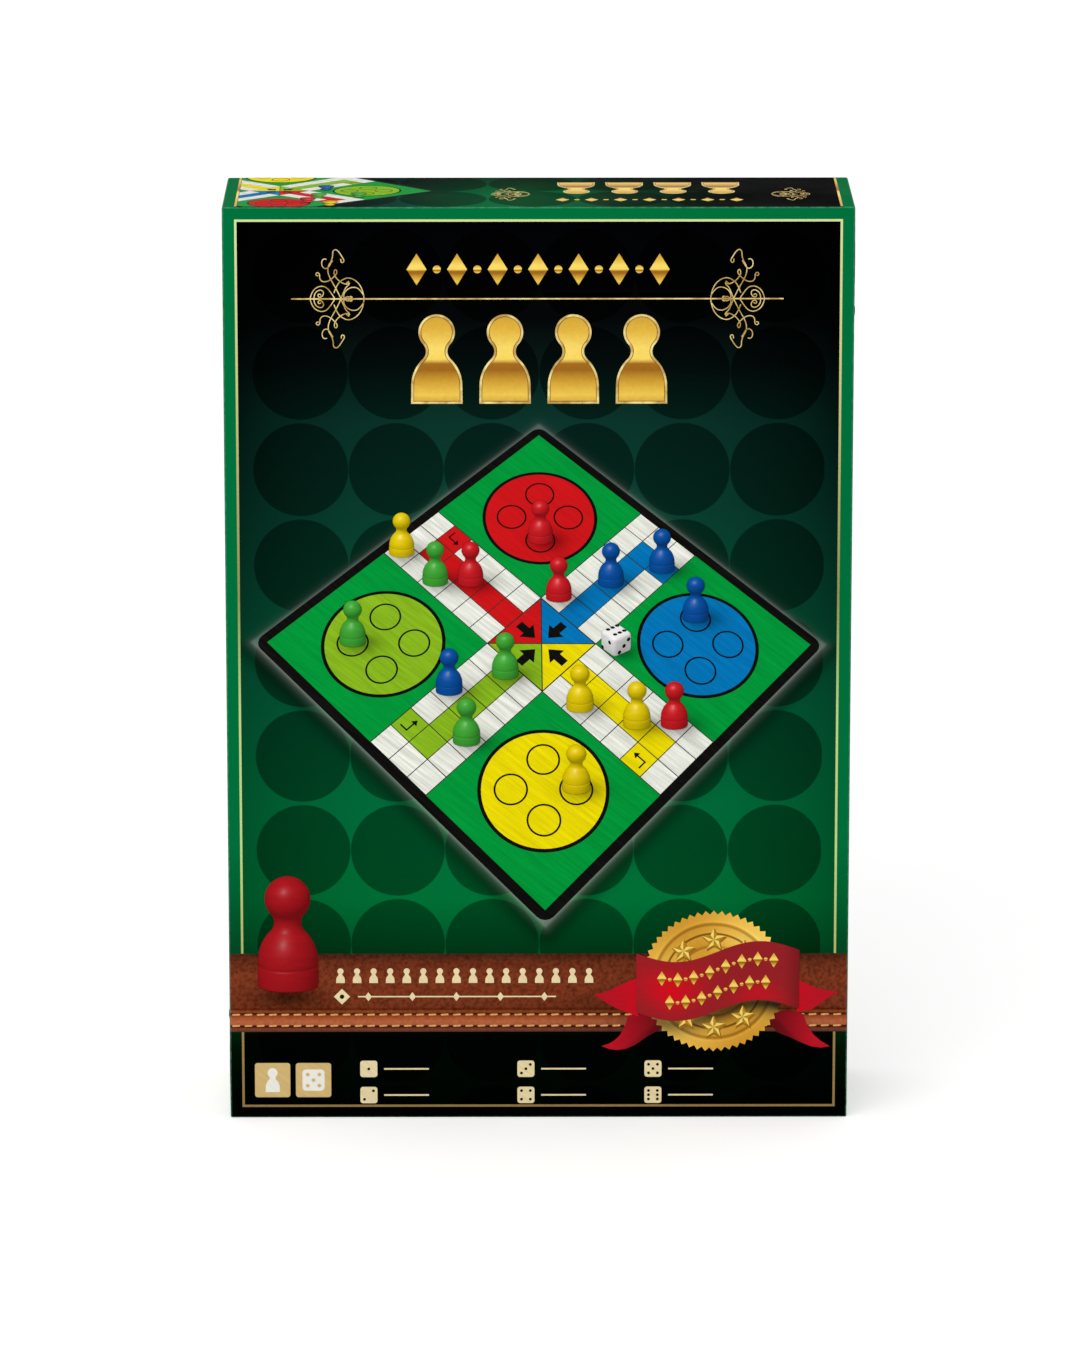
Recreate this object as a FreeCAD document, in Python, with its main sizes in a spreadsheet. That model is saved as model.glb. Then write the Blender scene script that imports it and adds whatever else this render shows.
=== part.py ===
# A boxed ludo game: a two-piece wrapped carton with a folding board, pawns, a die and rules inside.
# The box stands on a short wall, its printed front faces -Y and its opening runs along Y.
import math
import os

import FreeCAD
import Part
import Sketcher

Vector = FreeCAD.Vector
doc = FreeCAD.newDocument("ludo_box")
os.makedirs("parts", exist_ok=True)

# Driving sizes in millimetres, one cell each
sizes = [
    ("box_width", 267),
    ("box_height", 400),
    ("box_depth", 76),
    ("greyboard", 1.6),
    ("wrap_paper", 0.3),
    ("wrap_turn_in", 15),
    ("edge_radius", 0.9),
    ("stay_paper", 0.15),
    ("stay_reach", 12),
    ("base_reveal", 3),
    ("lid_clearance", 0.5),
    ("rim_gap", 0.7),
    ("tray_sheet", 0.8),
    ("tray_edge", 0.5),
    ("tray_clearance", 0.5),
    ("deck_drop", 1),
    ("recess_margin", 1.2),
    ("scoop_radius", 14),
    ("pocket_clearance", 0.4),
    ("pawn_pitch_across", 34),
    ("pawn_pitch_up", 52),
    ("board_side", 300),
    ("leaf_core", 3),
    ("cover_paper", 0.3),
    ("cover_border", 7),
    ("leaf_corner", 8),
    ("face_corner", 2),
    ("fold_gap", 0.3),
    ("fold_setback", 0.4),
    ("fold_strip_radius", 0.35),
    ("leaflet_margin", 1),
    ("leaflet_paper", 0.2),
    ("leaflet_gap", 0.2),
    ("stack_gap", 0.2),
    ("pawn_height", 33.5),
    ("pawn_base", 19),
    ("pawn_base_height", 6.2),
    ("pawn_groove_depth", 0.5),
    ("pawn_groove_width", 0.6),
    ("pawn_shoulder", 18.8),
    ("pawn_waist_radius", 4),
    ("pawn_neck", 7.9),
    ("pawn_head", 13.4),
    ("pawn_edge", 0.4),
    ("die_edge", 16),
    ("die_round", 2),
    ("pip_diameter", 3),
    ("pip_depth", 0.6),
    ("pip_spacing", 4.1),
]
sheet = doc.addObject("Spreadsheet::Sheet", "Sizes")
for row, (name, value) in enumerate(sizes, start=1):
    sheet.set(f"A{row}", name)
    sheet.set(f"B{row}", str(value))
    sheet.setAlias(f"B{row}", name)
doc.recompute()


def size(name):
    return f"Sizes.{name}"


def total(*terms):
    return "(" + " + ".join(terms) + ")"


def less(first, *others):
    return "(" + " - ".join((first,) + others) + ")"


def half(term):
    return f"({term} / 2)"


def double(term):
    return f"(2 * {term})"


# Levels along Y, from the printed front (negative) to the back (positive)
front = f"(-{size('box_depth')} / 2)"
back = half(size("box_depth"))
lid_rim = less(back, size("base_reveal"))
lid_inside = total(front, size("wrap_paper"), size("greyboard"))
base_rim = total(lid_inside, size("rim_gap"))
base_floor = less(back, size("wrap_paper"), size("greyboard"))
deck = total(base_rim, size("deck_drop"))
leaf = total(size("leaf_core"), size("cover_paper"), size("cover_paper"))
hinge_line = total(deck, leaf, half(size("fold_gap")))
right_leaf_face = total(hinge_line, half(size("fold_gap")))
right_leaf_back = total(right_leaf_face, leaf)
left_leaf_face = less(hinge_line, half(size("fold_gap")))
leaflet_front = total(right_leaf_back, size("stack_gap"))
leaflet_stack = total(double(size("leaflet_paper")), size("leaflet_gap"))
recess_floor = total(leaflet_front, leaflet_stack)
pawn_top = total(recess_floor, size("pocket_clearance"))
cup_floor = total(pawn_top, size("pawn_height"))
die_floor = total(pawn_top, size("die_edge"))

middle_height = half(size("box_height"))


# Shared ways of making shapes
sketch_start = 9
near_enough = 0.01


def body(name, across="0", up=middle_height):
    piece = doc.addObject("PartDesign::Body", name)
    piece.setExpression("Placement.Base.x", across)
    piece.setExpression("Placement.Base.z", up)
    return piece


def sketch(piece, name, plane="XZ_Plane", level=None):
    drawing = piece.newObject("Sketcher::SketchObject", name)
    support = [item for item in piece.Origin.OriginFeatures if item.Role == plane][0]
    drawing.AttachmentSupport = [(support, "")]
    drawing.MapMode = "FlatFace"
    if level is not None:
        drawing.setExpression("AttachmentOffset.Base.z", f"-{level}")
    return drawing


def bind(drawing, constraint, name, expression):
    number = drawing.addConstraint(constraint)
    drawing.renameConstraint(number, name)
    drawing.setExpression(f"Constraints.{name}", expression)


def rectangle(drawing, name, width, height):
    # Four sides held level and upright, centred on the sketch origin
    first = drawing.GeometryCount
    signs = [(-1, -1), (1, -1), (1, 1), (-1, 1)]
    corners = [Vector(sketch_start * right, sketch_start * up, 0) for right, up in signs]
    for start, end in zip(corners, corners[1:] + corners[:1]):
        drawing.addGeometry(Part.LineSegment(start, end), False)
    for side in range(4):
        after = first + (side + 1) % 4
        drawing.addConstraint(Sketcher.Constraint("Coincident", first + side, 2, after, 1))
    for side in (0, 2):
        drawing.addConstraint(Sketcher.Constraint("Horizontal", first + side))
    for side in (1, 3):
        drawing.addConstraint(Sketcher.Constraint("Vertical", first + side))
    drawing.addConstraint(Sketcher.Constraint("Symmetric", first, 1, first + 1, 2, -1, 1))
    across = Sketcher.Constraint("DistanceX", first, 1, first, 2, 2 * sketch_start)
    upright = Sketcher.Constraint("DistanceY", first + 1, 1, first + 1, 2, 2 * sketch_start)
    bind(drawing, across, f"{name}_wide", width)
    bind(drawing, upright, f"{name}_high", height)


def circle(drawing, name, radius, across, up, right, above):
    # A circle at a bound distance left or right of the origin and below or above it
    middle = Vector(sketch_start * right, sketch_start * above, 0)
    number = drawing.addGeometry(Part.Circle(middle, Vector(0, 0, 1), sketch_start), False)
    bind(drawing, Sketcher.Constraint("Radius", number, sketch_start), f"{name}_radius", radius)
    origin, centre = (-1, 1), (number, 3)
    if right == 0:
        drawing.addConstraint(Sketcher.Constraint("PointOnObject", number, 3, -2))
    else:
        ends = origin + centre if right > 0 else centre + origin
        bind(drawing, Sketcher.Constraint("DistanceX", *ends, sketch_start), f"{name}_across", across)
    if above == 0:
        drawing.addConstraint(Sketcher.Constraint("PointOnObject", number, 3, -1))
    else:
        ends = origin + centre if above > 0 else centre + origin
        bind(drawing, Sketcher.Constraint("DistanceY", *ends, sketch_start), f"{name}_up", up)


def pad(piece, drawing, name, length):
    # Grows from the sketch towards the front
    feature = piece.newObject("PartDesign::Pad", name)
    feature.Profile = drawing
    feature.setExpression("Length", length)
    doc.recompute()
    return feature


def pocket(piece, drawing, name, depth):
    # Cuts from the sketch towards the back
    before = piece.Shape.Volume
    feature = piece.newObject("PartDesign::Pocket", name)
    feature.Profile = drawing
    feature.setExpression("Length", depth)
    doc.recompute()
    if piece.Shape.Volume >= before:
        raise RuntimeError(f"{name} cuts nothing")
    return feature


def fillet(piece, feature, name, radius, wanted):
    # Rounds every edge of the last feature that the test picks
    edges = []
    for number, edge in enumerate(feature.Shape.Edges, start=1):
        if wanted(edge):
            edges.append(f"Edge{number}")
    rounding = piece.newObject("PartDesign::Fillet", name)
    rounding.Base = (feature, edges)
    rounding.setExpression("Radius", radius)
    doc.recompute()
    return rounding


def block(name, width, height, near, far, across="0"):
    # A box centred on the case, between two levels along Y
    shape = doc.addObject("Part::Box", name)
    shape.setExpression("Length", width)
    shape.setExpression("Height", height)
    shape.setExpression("Width", less(far, near))
    shape.setExpression("Placement.Base.x", less(across, half(width)))
    shape.setExpression("Placement.Base.y", near)
    shape.setExpression("Placement.Base.z", less(middle_height, half(height)))
    return shape


def fuse(name, shapes):
    joined = doc.addObject("Part::MultiFuse", name)
    joined.Shapes = shapes
    doc.recompute()
    return joined


def cut(name, base, tool):
    result = doc.addObject("Part::Cut", name)
    result.Base = base
    result.Tool = tool
    doc.recompute()
    return result


def common(name, base, tool):
    result = doc.addObject("Part::Common", name)
    result.Base = base
    result.Tool = tool
    doc.recompute()
    return result


def spans_depth(edge):
    # True for an edge that runs along Y
    return abs(edge.BoundBox.YLength - edge.Length) < near_enough


finished = []

# Lid and base of the case: grey board, corner tape and printed wrap
overshoot = "1"


def case_form(name, inset, growth, near, far, radius, rim_at_front):
    # A solid block with the panel and corner edges rounded and the rim left square
    piece = body(name)
    width = total(less(size("box_width"), double(inset)), double(growth))
    height = total(less(size("box_height"), double(inset)), double(growth))
    outline = sketch(piece, f"{name}_outline", level=far)
    rectangle(outline, "outline", width, height)
    solid = pad(piece, outline, f"{name}_block", less(far, near))
    box = solid.Shape.BoundBox
    rim = box.YMin if rim_at_front else box.YMax

    def off_the_rim(edge):
        return abs(edge.BoundBox.YMin - rim) + abs(edge.BoundBox.YMax - rim) > near_enough

    fillet(piece, solid, f"{name}_edges", radius, off_the_rim)
    return piece


def case_half(name, inset, panel, rim, rim_at_front):
    # The inset is measured from the outside of the closed box to the outside of this half's wrap
    paper = size("wrap_paper")
    board_inset = total(inset, paper)
    cavity_inset = total(board_inset, size("greyboard"))
    mouth_inset = total(cavity_inset, paper)
    board_radius = less(size("edge_radius"), paper)
    cavity_width = less(size("box_width"), double(cavity_inset))
    cavity_height = less(size("box_height"), double(cavity_inset))
    mouth_width = less(size("box_width"), double(mouth_inset))
    mouth_height = less(size("box_height"), double(mouth_inset))
    if rim_at_front:
        near, far = total(rim, paper), less(panel, paper)
        inside = less(panel, paper, size("greyboard"))
        skin_levels = (rim, panel)
        cavity_levels = (less(rim, overshoot), inside)
        bare_levels = (total(rim, paper, size("wrap_turn_in")), inside)
    else:
        near, far = total(panel, paper), less(rim, paper)
        inside = total(panel, paper, size("greyboard"))
        skin_levels = (panel, rim)
        cavity_levels = (inside, total(rim, overshoot))
        bare_levels = (inside, less(rim, paper, size("wrap_turn_in")))

    form = case_form(f"{name}_form", board_inset, "0", near, far, board_radius, rim_at_front)
    cavity = block(f"{name}_cavity", cavity_width, cavity_height, *cavity_levels)
    board = cut(f"{name}_board", form, cavity)

    tape = size("stay_paper")
    tape_radius = total(board_radius, tape)
    sleeve_form = case_form(f"{name}_sleeve", board_inset, tape, near, far, tape_radius, rim_at_front)
    sleeve = cut(f"{name}_sleeve_shell", sleeve_form, form)
    reach = total(size("stay_reach"), tape)
    posts = []
    for side in ("left", "right"):
        for end in ("low", "high"):
            post = doc.addObject("Part::Box", f"{name}_{side}_{end}_post")
            post.setExpression("Length", reach)
            post.setExpression("Height", reach)
            post.setExpression("Width", less(less(far, near), double(size("stay_reach"))))
            outer_x = less(half(size("box_width")), board_inset)
            outer_x = total(outer_x, tape)
            low_z = less(board_inset, tape)
            high_z = less(size("box_height"), board_inset, size("stay_reach"))
            post.setExpression("Placement.Base.x", f"-{outer_x}" if side == "left" else less(outer_x, reach))
            post.setExpression("Placement.Base.y", total(near, size("stay_reach")))
            post.setExpression("Placement.Base.z", low_z if end == "low" else high_z)
            posts.append(post)
    stays = common(f"{name}_corner_stays", sleeve, fuse(f"{name}_posts", posts))

    skin = case_form(f"{name}_skin", inset, "0", *skin_levels, size("edge_radius"), rim_at_front)
    mouth = block(f"{name}_mouth", mouth_width, mouth_height, *cavity_levels)
    bare = block(f"{name}_bare_wall", cavity_width, cavity_height, *bare_levels)
    hollow = fuse(f"{name}_wrap_hollow", [board, stays, mouth, bare])
    wrap = cut(f"{name}_wrap", skin, hollow)
    finished.extend([board, stays, wrap])


base_inset = total(double(size("wrap_paper")), size("greyboard"), size("lid_clearance"))
case_half("lid", "0", front, lid_rim, False)
case_half("base", base_inset, back, base_rim, True)

# Vacuum formed tray: skirt, deck, recess for the folded board, pawn cups and die well
tray = body("insert_tray")
wall = size("tray_sheet")
tray_inset = total(base_inset, double(size("wrap_paper")), size("greyboard"), size("tray_clearance"))
tray_width = less(size("box_width"), double(tray_inset))
tray_height = less(size("box_height"), double(tray_inset))
folded_width = half(size("board_side"))
recess_width = total(folded_width, double(size("recess_margin")))
recess_height = total(size("board_side"), double(size("recess_margin")))
recess_back = total(recess_floor, wall)
recess_depth = less(recess_floor, deck)
cup_radius = total(half(size("pawn_base")), size("pocket_clearance"))
die_well = total(size("die_edge"), double(size("pocket_clearance")))

columns = [("far_left", -1, 1.5), ("left", -1, 0.5), ("right", 1, 0.5), ("far_right", 1, 1.5)]
rows = [("lowest", -1, 1.5), ("low", -1, 0.5), ("high", 1, 0.5), ("highest", 1, 1.5)]


def cup_circles(drawing, radius):
    for column, right, steps in columns:
        for row, above, climbs in rows:
            across = f"({steps} * {size('pawn_pitch_across')})"
            up = f"({climbs} * {size('pawn_pitch_up')})"
            circle(drawing, f"{column}_{row}", radius, across, up, right, above)


def scoop_circles(drawing, radius):
    for side, right in (("left", -1), ("right", 1)):
        circle(drawing, side, radius, half(recess_width), "0", right, 0)


drawing = sketch(tray, "skirt_outline", level=base_floor)
rectangle(drawing, "outer", tray_width, tray_height)
rectangle(drawing, "inner", less(tray_width, double(wall)), less(tray_height, double(wall)))
pad(tray, drawing, "skirt", less(base_floor, deck))

drawing = sketch(tray, "deck_outline", level=total(deck, wall))
rectangle(drawing, "deck", tray_width, tray_height)
pad(tray, drawing, "deck", wall)

drawing = sketch(tray, "recess_outline", level=recess_back)
rectangle(drawing, "recess", total(recess_width, double(wall)), total(recess_height, double(wall)))
pad(tray, drawing, "recess_block", less(recess_back, deck))

drawing = sketch(tray, "scoop_outline", level=recess_back)
scoop_circles(drawing, total(size("scoop_radius"), wall))
pad(tray, drawing, "scoop_block", less(recess_back, deck))

drawing = sketch(tray, "cup_outline", level=total(cup_floor, wall))
cup_circles(drawing, total(cup_radius, wall))
pad(tray, drawing, "cup_block", less(cup_floor, recess_floor))

drawing = sketch(tray, "die_outline", level=total(die_floor, wall))
rectangle(drawing, "well", total(die_well, double(wall)), total(die_well, double(wall)))
pad(tray, drawing, "die_block", less(die_floor, recess_floor))

drawing = sketch(tray, "recess_opening", level=deck)
rectangle(drawing, "recess", recess_width, recess_height)
pocket(tray, drawing, "recess", recess_depth)

drawing = sketch(tray, "scoop_opening", level=deck)
scoop_circles(drawing, size("scoop_radius"))
pocket(tray, drawing, "scoops", recess_depth)

floor_drawing = sketch(tray, "cup_opening", level=recess_floor)
cup_circles(floor_drawing, cup_radius)
pocket(tray, floor_drawing, "cups", less(cup_floor, recess_floor))

drawing = sketch(tray, "die_opening", level=recess_floor)
rectangle(drawing, "well", die_well, die_well)
die_pocket = pocket(tray, drawing, "die_well", less(die_floor, recess_floor))


def formed_edge(edge):
    # The deck's edges and the mouths of the cups and die well, which forming leaves rounded
    box = edge.BoundBox
    if box.YLength > near_enough:
        return False
    floor_y = floor_drawing.getGlobalPlacement().Base.y
    on_deck = abs(box.YMin - die_pocket.Shape.BoundBox.YMin) < near_enough
    on_floor = abs(box.YMin - floor_y) < near_enough
    small = max(box.XLength, box.ZLength) < sheet.get("pawn_pitch_across")
    in_scoop = abs(box.Center.x) > sheet.get("board_side") / 4
    return on_deck or (on_floor and small and not in_scoop)


fillet(tray, die_pocket, "formed_edges", size("tray_edge"), formed_edge)
finished.append(tray)

# Folding playing board: two halves of thick core, black cover and printed face, joined by a fold strip
fold_line = f"(-{half(folded_width)})"
leaf_width = less(folded_width, size("fold_setback"))
leaf_middle = half(size("fold_setback"))
core_width = less(leaf_width, double(size("cover_paper")))
core_height = less(size("board_side"), double(size("cover_paper")))
face_width = less(leaf_width, size("cover_paper"), size("cover_border"))
face_height = less(size("board_side"), double(size("cover_border")))
face_middle = total(leaf_middle, half(less(size("cover_paper"), size("cover_border"))))


def leaf_layer(name, across, width, height, near, far, radius):
    # A sheet with its two corners away from the fold rounded
    piece = body(name, across=across)
    outline = sketch(piece, f"{name}_outline", level=far)
    rectangle(outline, "sheet", width, height)
    solid = pad(piece, outline, f"{name}_sheet", less(far, near))

    def outer_corner(edge):
        return spans_depth(edge) and edge.BoundBox.XMin > 0

    fillet(piece, solid, f"{name}_corners", radius, outer_corner)
    return piece


def board_half(side, near, far, face_at_front):
    paper = size("cover_paper")
    core_radius = less(size("leaf_corner"), paper)
    core_levels = (total(near, paper), less(far, paper))
    face_levels = (near, total(near, paper)) if face_at_front else (less(far, paper), far)
    form = leaf_layer(f"{side}_leaf_form", leaf_middle, leaf_width, size("board_side"),
                      near, far, size("leaf_corner"))
    core = leaf_layer(f"{side}_leaf_core", leaf_middle, core_width, core_height,
                      *core_levels, core_radius)
    face = leaf_layer(f"{side}_leaf_face", face_middle, face_width, face_height,
                      *face_levels, size("face_corner"))
    cover = cut(f"{side}_leaf_cover", form, fuse(f"{side}_leaf_inside", [core, face]))
    finished.extend([core, cover, face])


board_half("right", right_leaf_face, right_leaf_back, True)
board_half("left", deck, left_leaf_face, False)

fold_strip = doc.addObject("Part::Cylinder", "fold_strip")
fold_strip.setExpression("Radius", size("fold_strip_radius"))
fold_strip.setExpression("Height", core_height)
fold_strip.setExpression("Placement.Base.x", fold_line)
fold_strip.setExpression("Placement.Base.y", hinge_line)
fold_strip.setExpression("Placement.Base.z", less(middle_height, half(core_height)))
finished.append(fold_strip)

# Rules leaflet: one sheet folded once, the fold at the left
leaflet_width = less(folded_width, double(size("leaflet_margin")))
leaflet_height = less(size("board_side"), double(size("leaflet_margin")))


def leaflet_outline(profile):
    # Seen from above: two long leaves joined by a round fold, drawn where the sizes put them
    inner = sheet.get("leaflet_gap") / 2
    outer = inner + sheet.get("leaflet_paper")
    east = sheet.get("board_side") / 4 - sheet.get("leaflet_margin")
    west = outer - east
    front_outside, front_end, front_inside = range(3)
    back_inside, back_end, back_outside = range(3, 6)
    inner_arc, outer_arc = range(6, 8)
    lines = [
        (Vector(west, -outer, 0), Vector(east, -outer, 0)),
        (Vector(east, -outer, 0), Vector(east, -inner, 0)),
        (Vector(east, -inner, 0), Vector(west, -inner, 0)),
        (Vector(west, inner, 0), Vector(east, inner, 0)),
        (Vector(east, inner, 0), Vector(east, outer, 0)),
        (Vector(east, outer, 0), Vector(west, outer, 0)),
    ]
    for start, end in lines:
        profile.addGeometry(Part.LineSegment(start, end), False)
    for radius in (inner, outer):
        ring = Part.Circle(Vector(west, 0, 0), Vector(0, 0, 1), radius)
        profile.addGeometry(Part.ArcOfCircle(ring, math.pi / 2, 3 * math.pi / 2), False)
    joins = [(front_outside, 2, front_end, 1), (front_end, 2, front_inside, 1),
             (back_inside, 2, back_end, 1), (back_end, 2, back_outside, 1),
             (inner_arc, 1, back_inside, 1), (inner_arc, 2, front_inside, 2),
             (outer_arc, 1, back_outside, 2), (outer_arc, 2, front_outside, 1)]
    for join in joins:
        profile.addConstraint(Sketcher.Constraint("Coincident", *join))
    for leaf_line in (front_outside, front_inside, back_inside, back_outside):
        profile.addConstraint(Sketcher.Constraint("Horizontal", leaf_line))
    for end_line in (front_end, back_end):
        profile.addConstraint(Sketcher.Constraint("Vertical", end_line))
    profile.addConstraint(Sketcher.Constraint("Coincident", inner_arc, 3, outer_arc, 3))
    profile.addConstraint(Sketcher.Constraint("PointOnObject", inner_arc, 3, -1))
    for line, end in ((back_inside, 1), (front_inside, 2), (back_outside, 2), (front_outside, 1)):
        profile.addConstraint(Sketcher.Constraint("Vertical", inner_arc, 3, line, end))
    profile.addConstraint(Sketcher.Constraint("Vertical", front_end, 1, back_end, 2))
    outer_radius = half(leaflet_stack)
    held = [
        ("Radius", (inner_arc,), inner, "fold_inner", half(size("leaflet_gap"))),
        ("Radius", (outer_arc,), outer, "fold_outer", outer_radius),
        ("DistanceX", (-1, 1, front_outside, 2), east, "free_edge", half(leaflet_width)),
        ("DistanceX", (inner_arc, 3, -1, 1), -west, "fold_edge", less(half(leaflet_width), outer_radius)),
    ]
    for kind, ends, value, name, expression in held:
        bind(profile, Sketcher.Constraint(kind, *ends, value), name, expression)


leaflet = body("rules_leaflet")
leaflet.setExpression("Placement.Base.y", total(leaflet_front, half(leaflet_stack)))
leaflet_profile = sketch(leaflet, "leaflet_profile", plane="XY_Plane")
leaflet_outline(leaflet_profile)
leaflet_sheet = leaflet.newObject("PartDesign::Pad", "leaflet_sheet")
leaflet_sheet.Profile = leaflet_profile
leaflet_sheet.Midplane = True
leaflet_sheet.setExpression("Length", leaflet_height)
doc.recompute()
finished.append(leaflet)

# Pawns: turned wood, ball head, waisted dome and a grooved foot, lying with the head to the front
pawn_foot_radius = half(size("pawn_base"))
groove_radius = less(pawn_foot_radius, size("pawn_groove_depth"))
head_radius = half(size("pawn_head"))
waist_centre = total(half(size("pawn_neck")), size("pawn_waist_radius"))


def pawn_outline(outline):
    # Sketch x is the radius and minus y the height above the foot. The lines and arcs are drawn where
    # the sizes put them, then the constraints hold them there.
    foot_x = sheet.get("pawn_base") / 2
    foot_y = -sheet.get("pawn_base_height")
    groove_x = foot_x - sheet.get("pawn_groove_depth")
    shoulder_x = sheet.get("pawn_shoulder") / 2
    shoulder_y = foot_y - sheet.get("pawn_groove_width")
    neck_x = sheet.get("pawn_neck") / 2
    head_r = sheet.get("pawn_head") / 2
    top_y = -sheet.get("pawn_height")
    head_y = top_y + head_r
    waist_r = sheet.get("pawn_waist_radius")
    waist_x = neck_x + waist_r
    waist_y = head_y + math.sqrt((head_r + waist_r) ** 2 - waist_x ** 2)
    run = waist_x - shoulder_x
    rise = shoulder_y - waist_y
    dome_r = (waist_r ** 2 - run ** 2 - rise ** 2) / (2 * (run - waist_r))
    dome_x = shoulder_x - dome_r
    lean = math.atan2(rise, waist_x - dome_x)
    nod = math.atan2(waist_y - head_y, waist_x)
    points = [(0, 0), (foot_x, 0), (foot_x, foot_y), (groove_x, foot_y), (groove_x, shoulder_y),
              (shoulder_x, shoulder_y)]
    points = [Vector(x, y, 0) for x, y in points]
    for start, end in zip(points[:-1], points[1:]):
        outline.addGeometry(Part.LineSegment(start, end), False)
    upward = Vector(0, 0, 1)
    dome = Part.Circle(Vector(dome_x, shoulder_y, 0), upward, dome_r)
    outline.addGeometry(Part.ArcOfCircle(dome, -lean, 0), False)
    waist = Part.Circle(Vector(waist_x, waist_y, 0), upward, waist_r)
    outline.addGeometry(Part.ArcOfCircle(waist, math.pi - lean, math.pi + nod), False)
    head = Part.Circle(Vector(0, head_y, 0), upward, head_r)
    outline.addGeometry(Part.ArcOfCircle(head, -math.pi / 2, nod), False)
    outline.addGeometry(Part.LineSegment(Vector(0, top_y, 0), points[0]), False)
    foot, rim, groove_top, groove, shoulder, dome_arc, waist_arc, head_arc, axis = range(9)
    chain = [(foot, 2, rim, 1), (rim, 2, groove_top, 1), (groove_top, 2, groove, 1),
             (groove, 2, shoulder, 1), (shoulder, 2, dome_arc, 2), (head_arc, 1, axis, 1),
             (axis, 2, foot, 1)]
    for join in chain:
        outline.addConstraint(Sketcher.Constraint("Coincident", *join))
    outline.addConstraint(Sketcher.Constraint("Tangent", dome_arc, 1, waist_arc, 1))
    outline.addConstraint(Sketcher.Constraint("Tangent", waist_arc, 2, head_arc, 2))
    for flat in (foot, groove_top, shoulder):
        outline.addConstraint(Sketcher.Constraint("Horizontal", flat))
    for upright in (rim, groove, axis):
        outline.addConstraint(Sketcher.Constraint("Vertical", upright))
    outline.addConstraint(Sketcher.Constraint("Coincident", foot, 1, -1, 1))
    outline.addConstraint(Sketcher.Constraint("PointOnObject", head_arc, 3, -2))
    outline.addConstraint(Sketcher.Constraint("Horizontal", dome_arc, 3, dome_arc, 2))
    held = [
        ("DistanceX", (foot, 1, foot, 2), foot_x, "foot_radius", pawn_foot_radius),
        ("DistanceY", (rim, 2, rim, 1), -foot_y, "foot_height", size("pawn_base_height")),
        ("DistanceX", (-1, 1, groove, 1), groove_x, "groove_radius", groove_radius),
        ("DistanceY", (groove, 2, groove, 1), foot_y - shoulder_y, "groove_width", size("pawn_groove_width")),
        ("DistanceX", (-1, 1, dome_arc, 2), shoulder_x, "shoulder_radius", half(size("pawn_shoulder"))),
        ("DistanceX", (-1, 1, waist_arc, 3), waist_x, "waist_centre", waist_centre),
        ("Radius", (waist_arc,), waist_r, "waist_radius", size("pawn_waist_radius")),
        ("Radius", (head_arc,), head_r, "head_radius", head_radius),
        ("DistanceY", (axis, 1, axis, 2), -top_y, "height", size("pawn_height")),
    ]
    for kind, ends, value, name, expression in held:
        bind(outline, Sketcher.Constraint(kind, *ends, value), name, expression)


def pawn(name, across, up):
    piece = body(name, across=across, up=total(middle_height, up))
    piece.setExpression("Placement.Base.y", cup_floor)
    outline = sketch(piece, f"{name}_profile", plane="XY_Plane")
    pawn_outline(outline)
    turning = piece.newObject("PartDesign::Revolution", f"{name}_turning")
    turning.Profile = outline
    turning.ReferenceAxis = (outline, ["V_Axis"])
    turning.Angle = 360
    doc.recompute()

    def foot_edge(edge):
        return abs(edge.Length - math.pi * sheet.get("pawn_base")) < near_enough

    fillet(piece, turning, f"{name}_edges", size("pawn_edge"), foot_edge)
    return piece


colours = ["red", "green", "blue", "yellow"]
for colour, (column, right, steps) in zip(colours, columns):
    for number, (row, above, climbs) in enumerate(rows, start=1):
        across = f"({right * steps} * {size('pawn_pitch_across')})"
        up = f"({above * climbs} * {size('pawn_pitch_up')})"
        finished.append(pawn(f"{colour}_pawn_{number}", across, up))

# Die: rounded cube with sunk pips, opposite faces adding up to seven
die_middle = less(die_floor, half(size("die_edge")))
die_blank = body("die_blank")
outline = sketch(die_blank, "die_outline_square", level=die_floor)
rectangle(outline, "die", size("die_edge"), size("die_edge"))
die_cube = pad(die_blank, outline, "die_cube", size("die_edge"))
fillet(die_blank, die_cube, "die_edges", size("die_round"), lambda edge: True)

pip_ball = f"(({size('pip_diameter')} ^ 2 / 4 + {size('pip_depth')} ^ 2) / (2 * {size('pip_depth')}))"
pip_out = less(total(half(size("die_edge")), pip_ball), size("pip_depth"))
corners_two = [(-1, -1), (1, 1)]
corners_four = corners_two + [(-1, 1), (1, -1)]
pip_layouts = {
    1: [(0, 0)],
    2: corners_two,
    3: corners_two + [(0, 0)],
    4: corners_four,
    5: corners_four + [(0, 0)],
    6: corners_four + [(-1, 0), (1, 0)],
}
die_faces = {1: ("y", -1), 6: ("y", 1), 2: ("x", -1), 5: ("x", 1), 3: ("z", -1), 4: ("z", 1)}
die_centre = {"x": "0", "y": die_middle, "z": middle_height}
pips = []
for count, (normal, side) in die_faces.items():
    first, second = [name for name in "xyz" if name != normal]
    for number, (along, over) in enumerate(pip_layouts[count], start=1):
        pip = doc.addObject("Part::Sphere", f"pip_{count}_{number}")
        pip.setExpression("Radius", pip_ball)
        shift = {normal: f"({side} * {pip_out})", first: f"({along} * {size('pip_spacing')})",
                 second: f"({over} * {size('pip_spacing')})"}
        for name in "xyz":
            pip.setExpression(f"Placement.Base.{name}", total(die_centre[name], shift[name]))
        pips.append(pip)
finished.append(cut("die", die_blank, fuse("die_pips", pips)))

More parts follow.
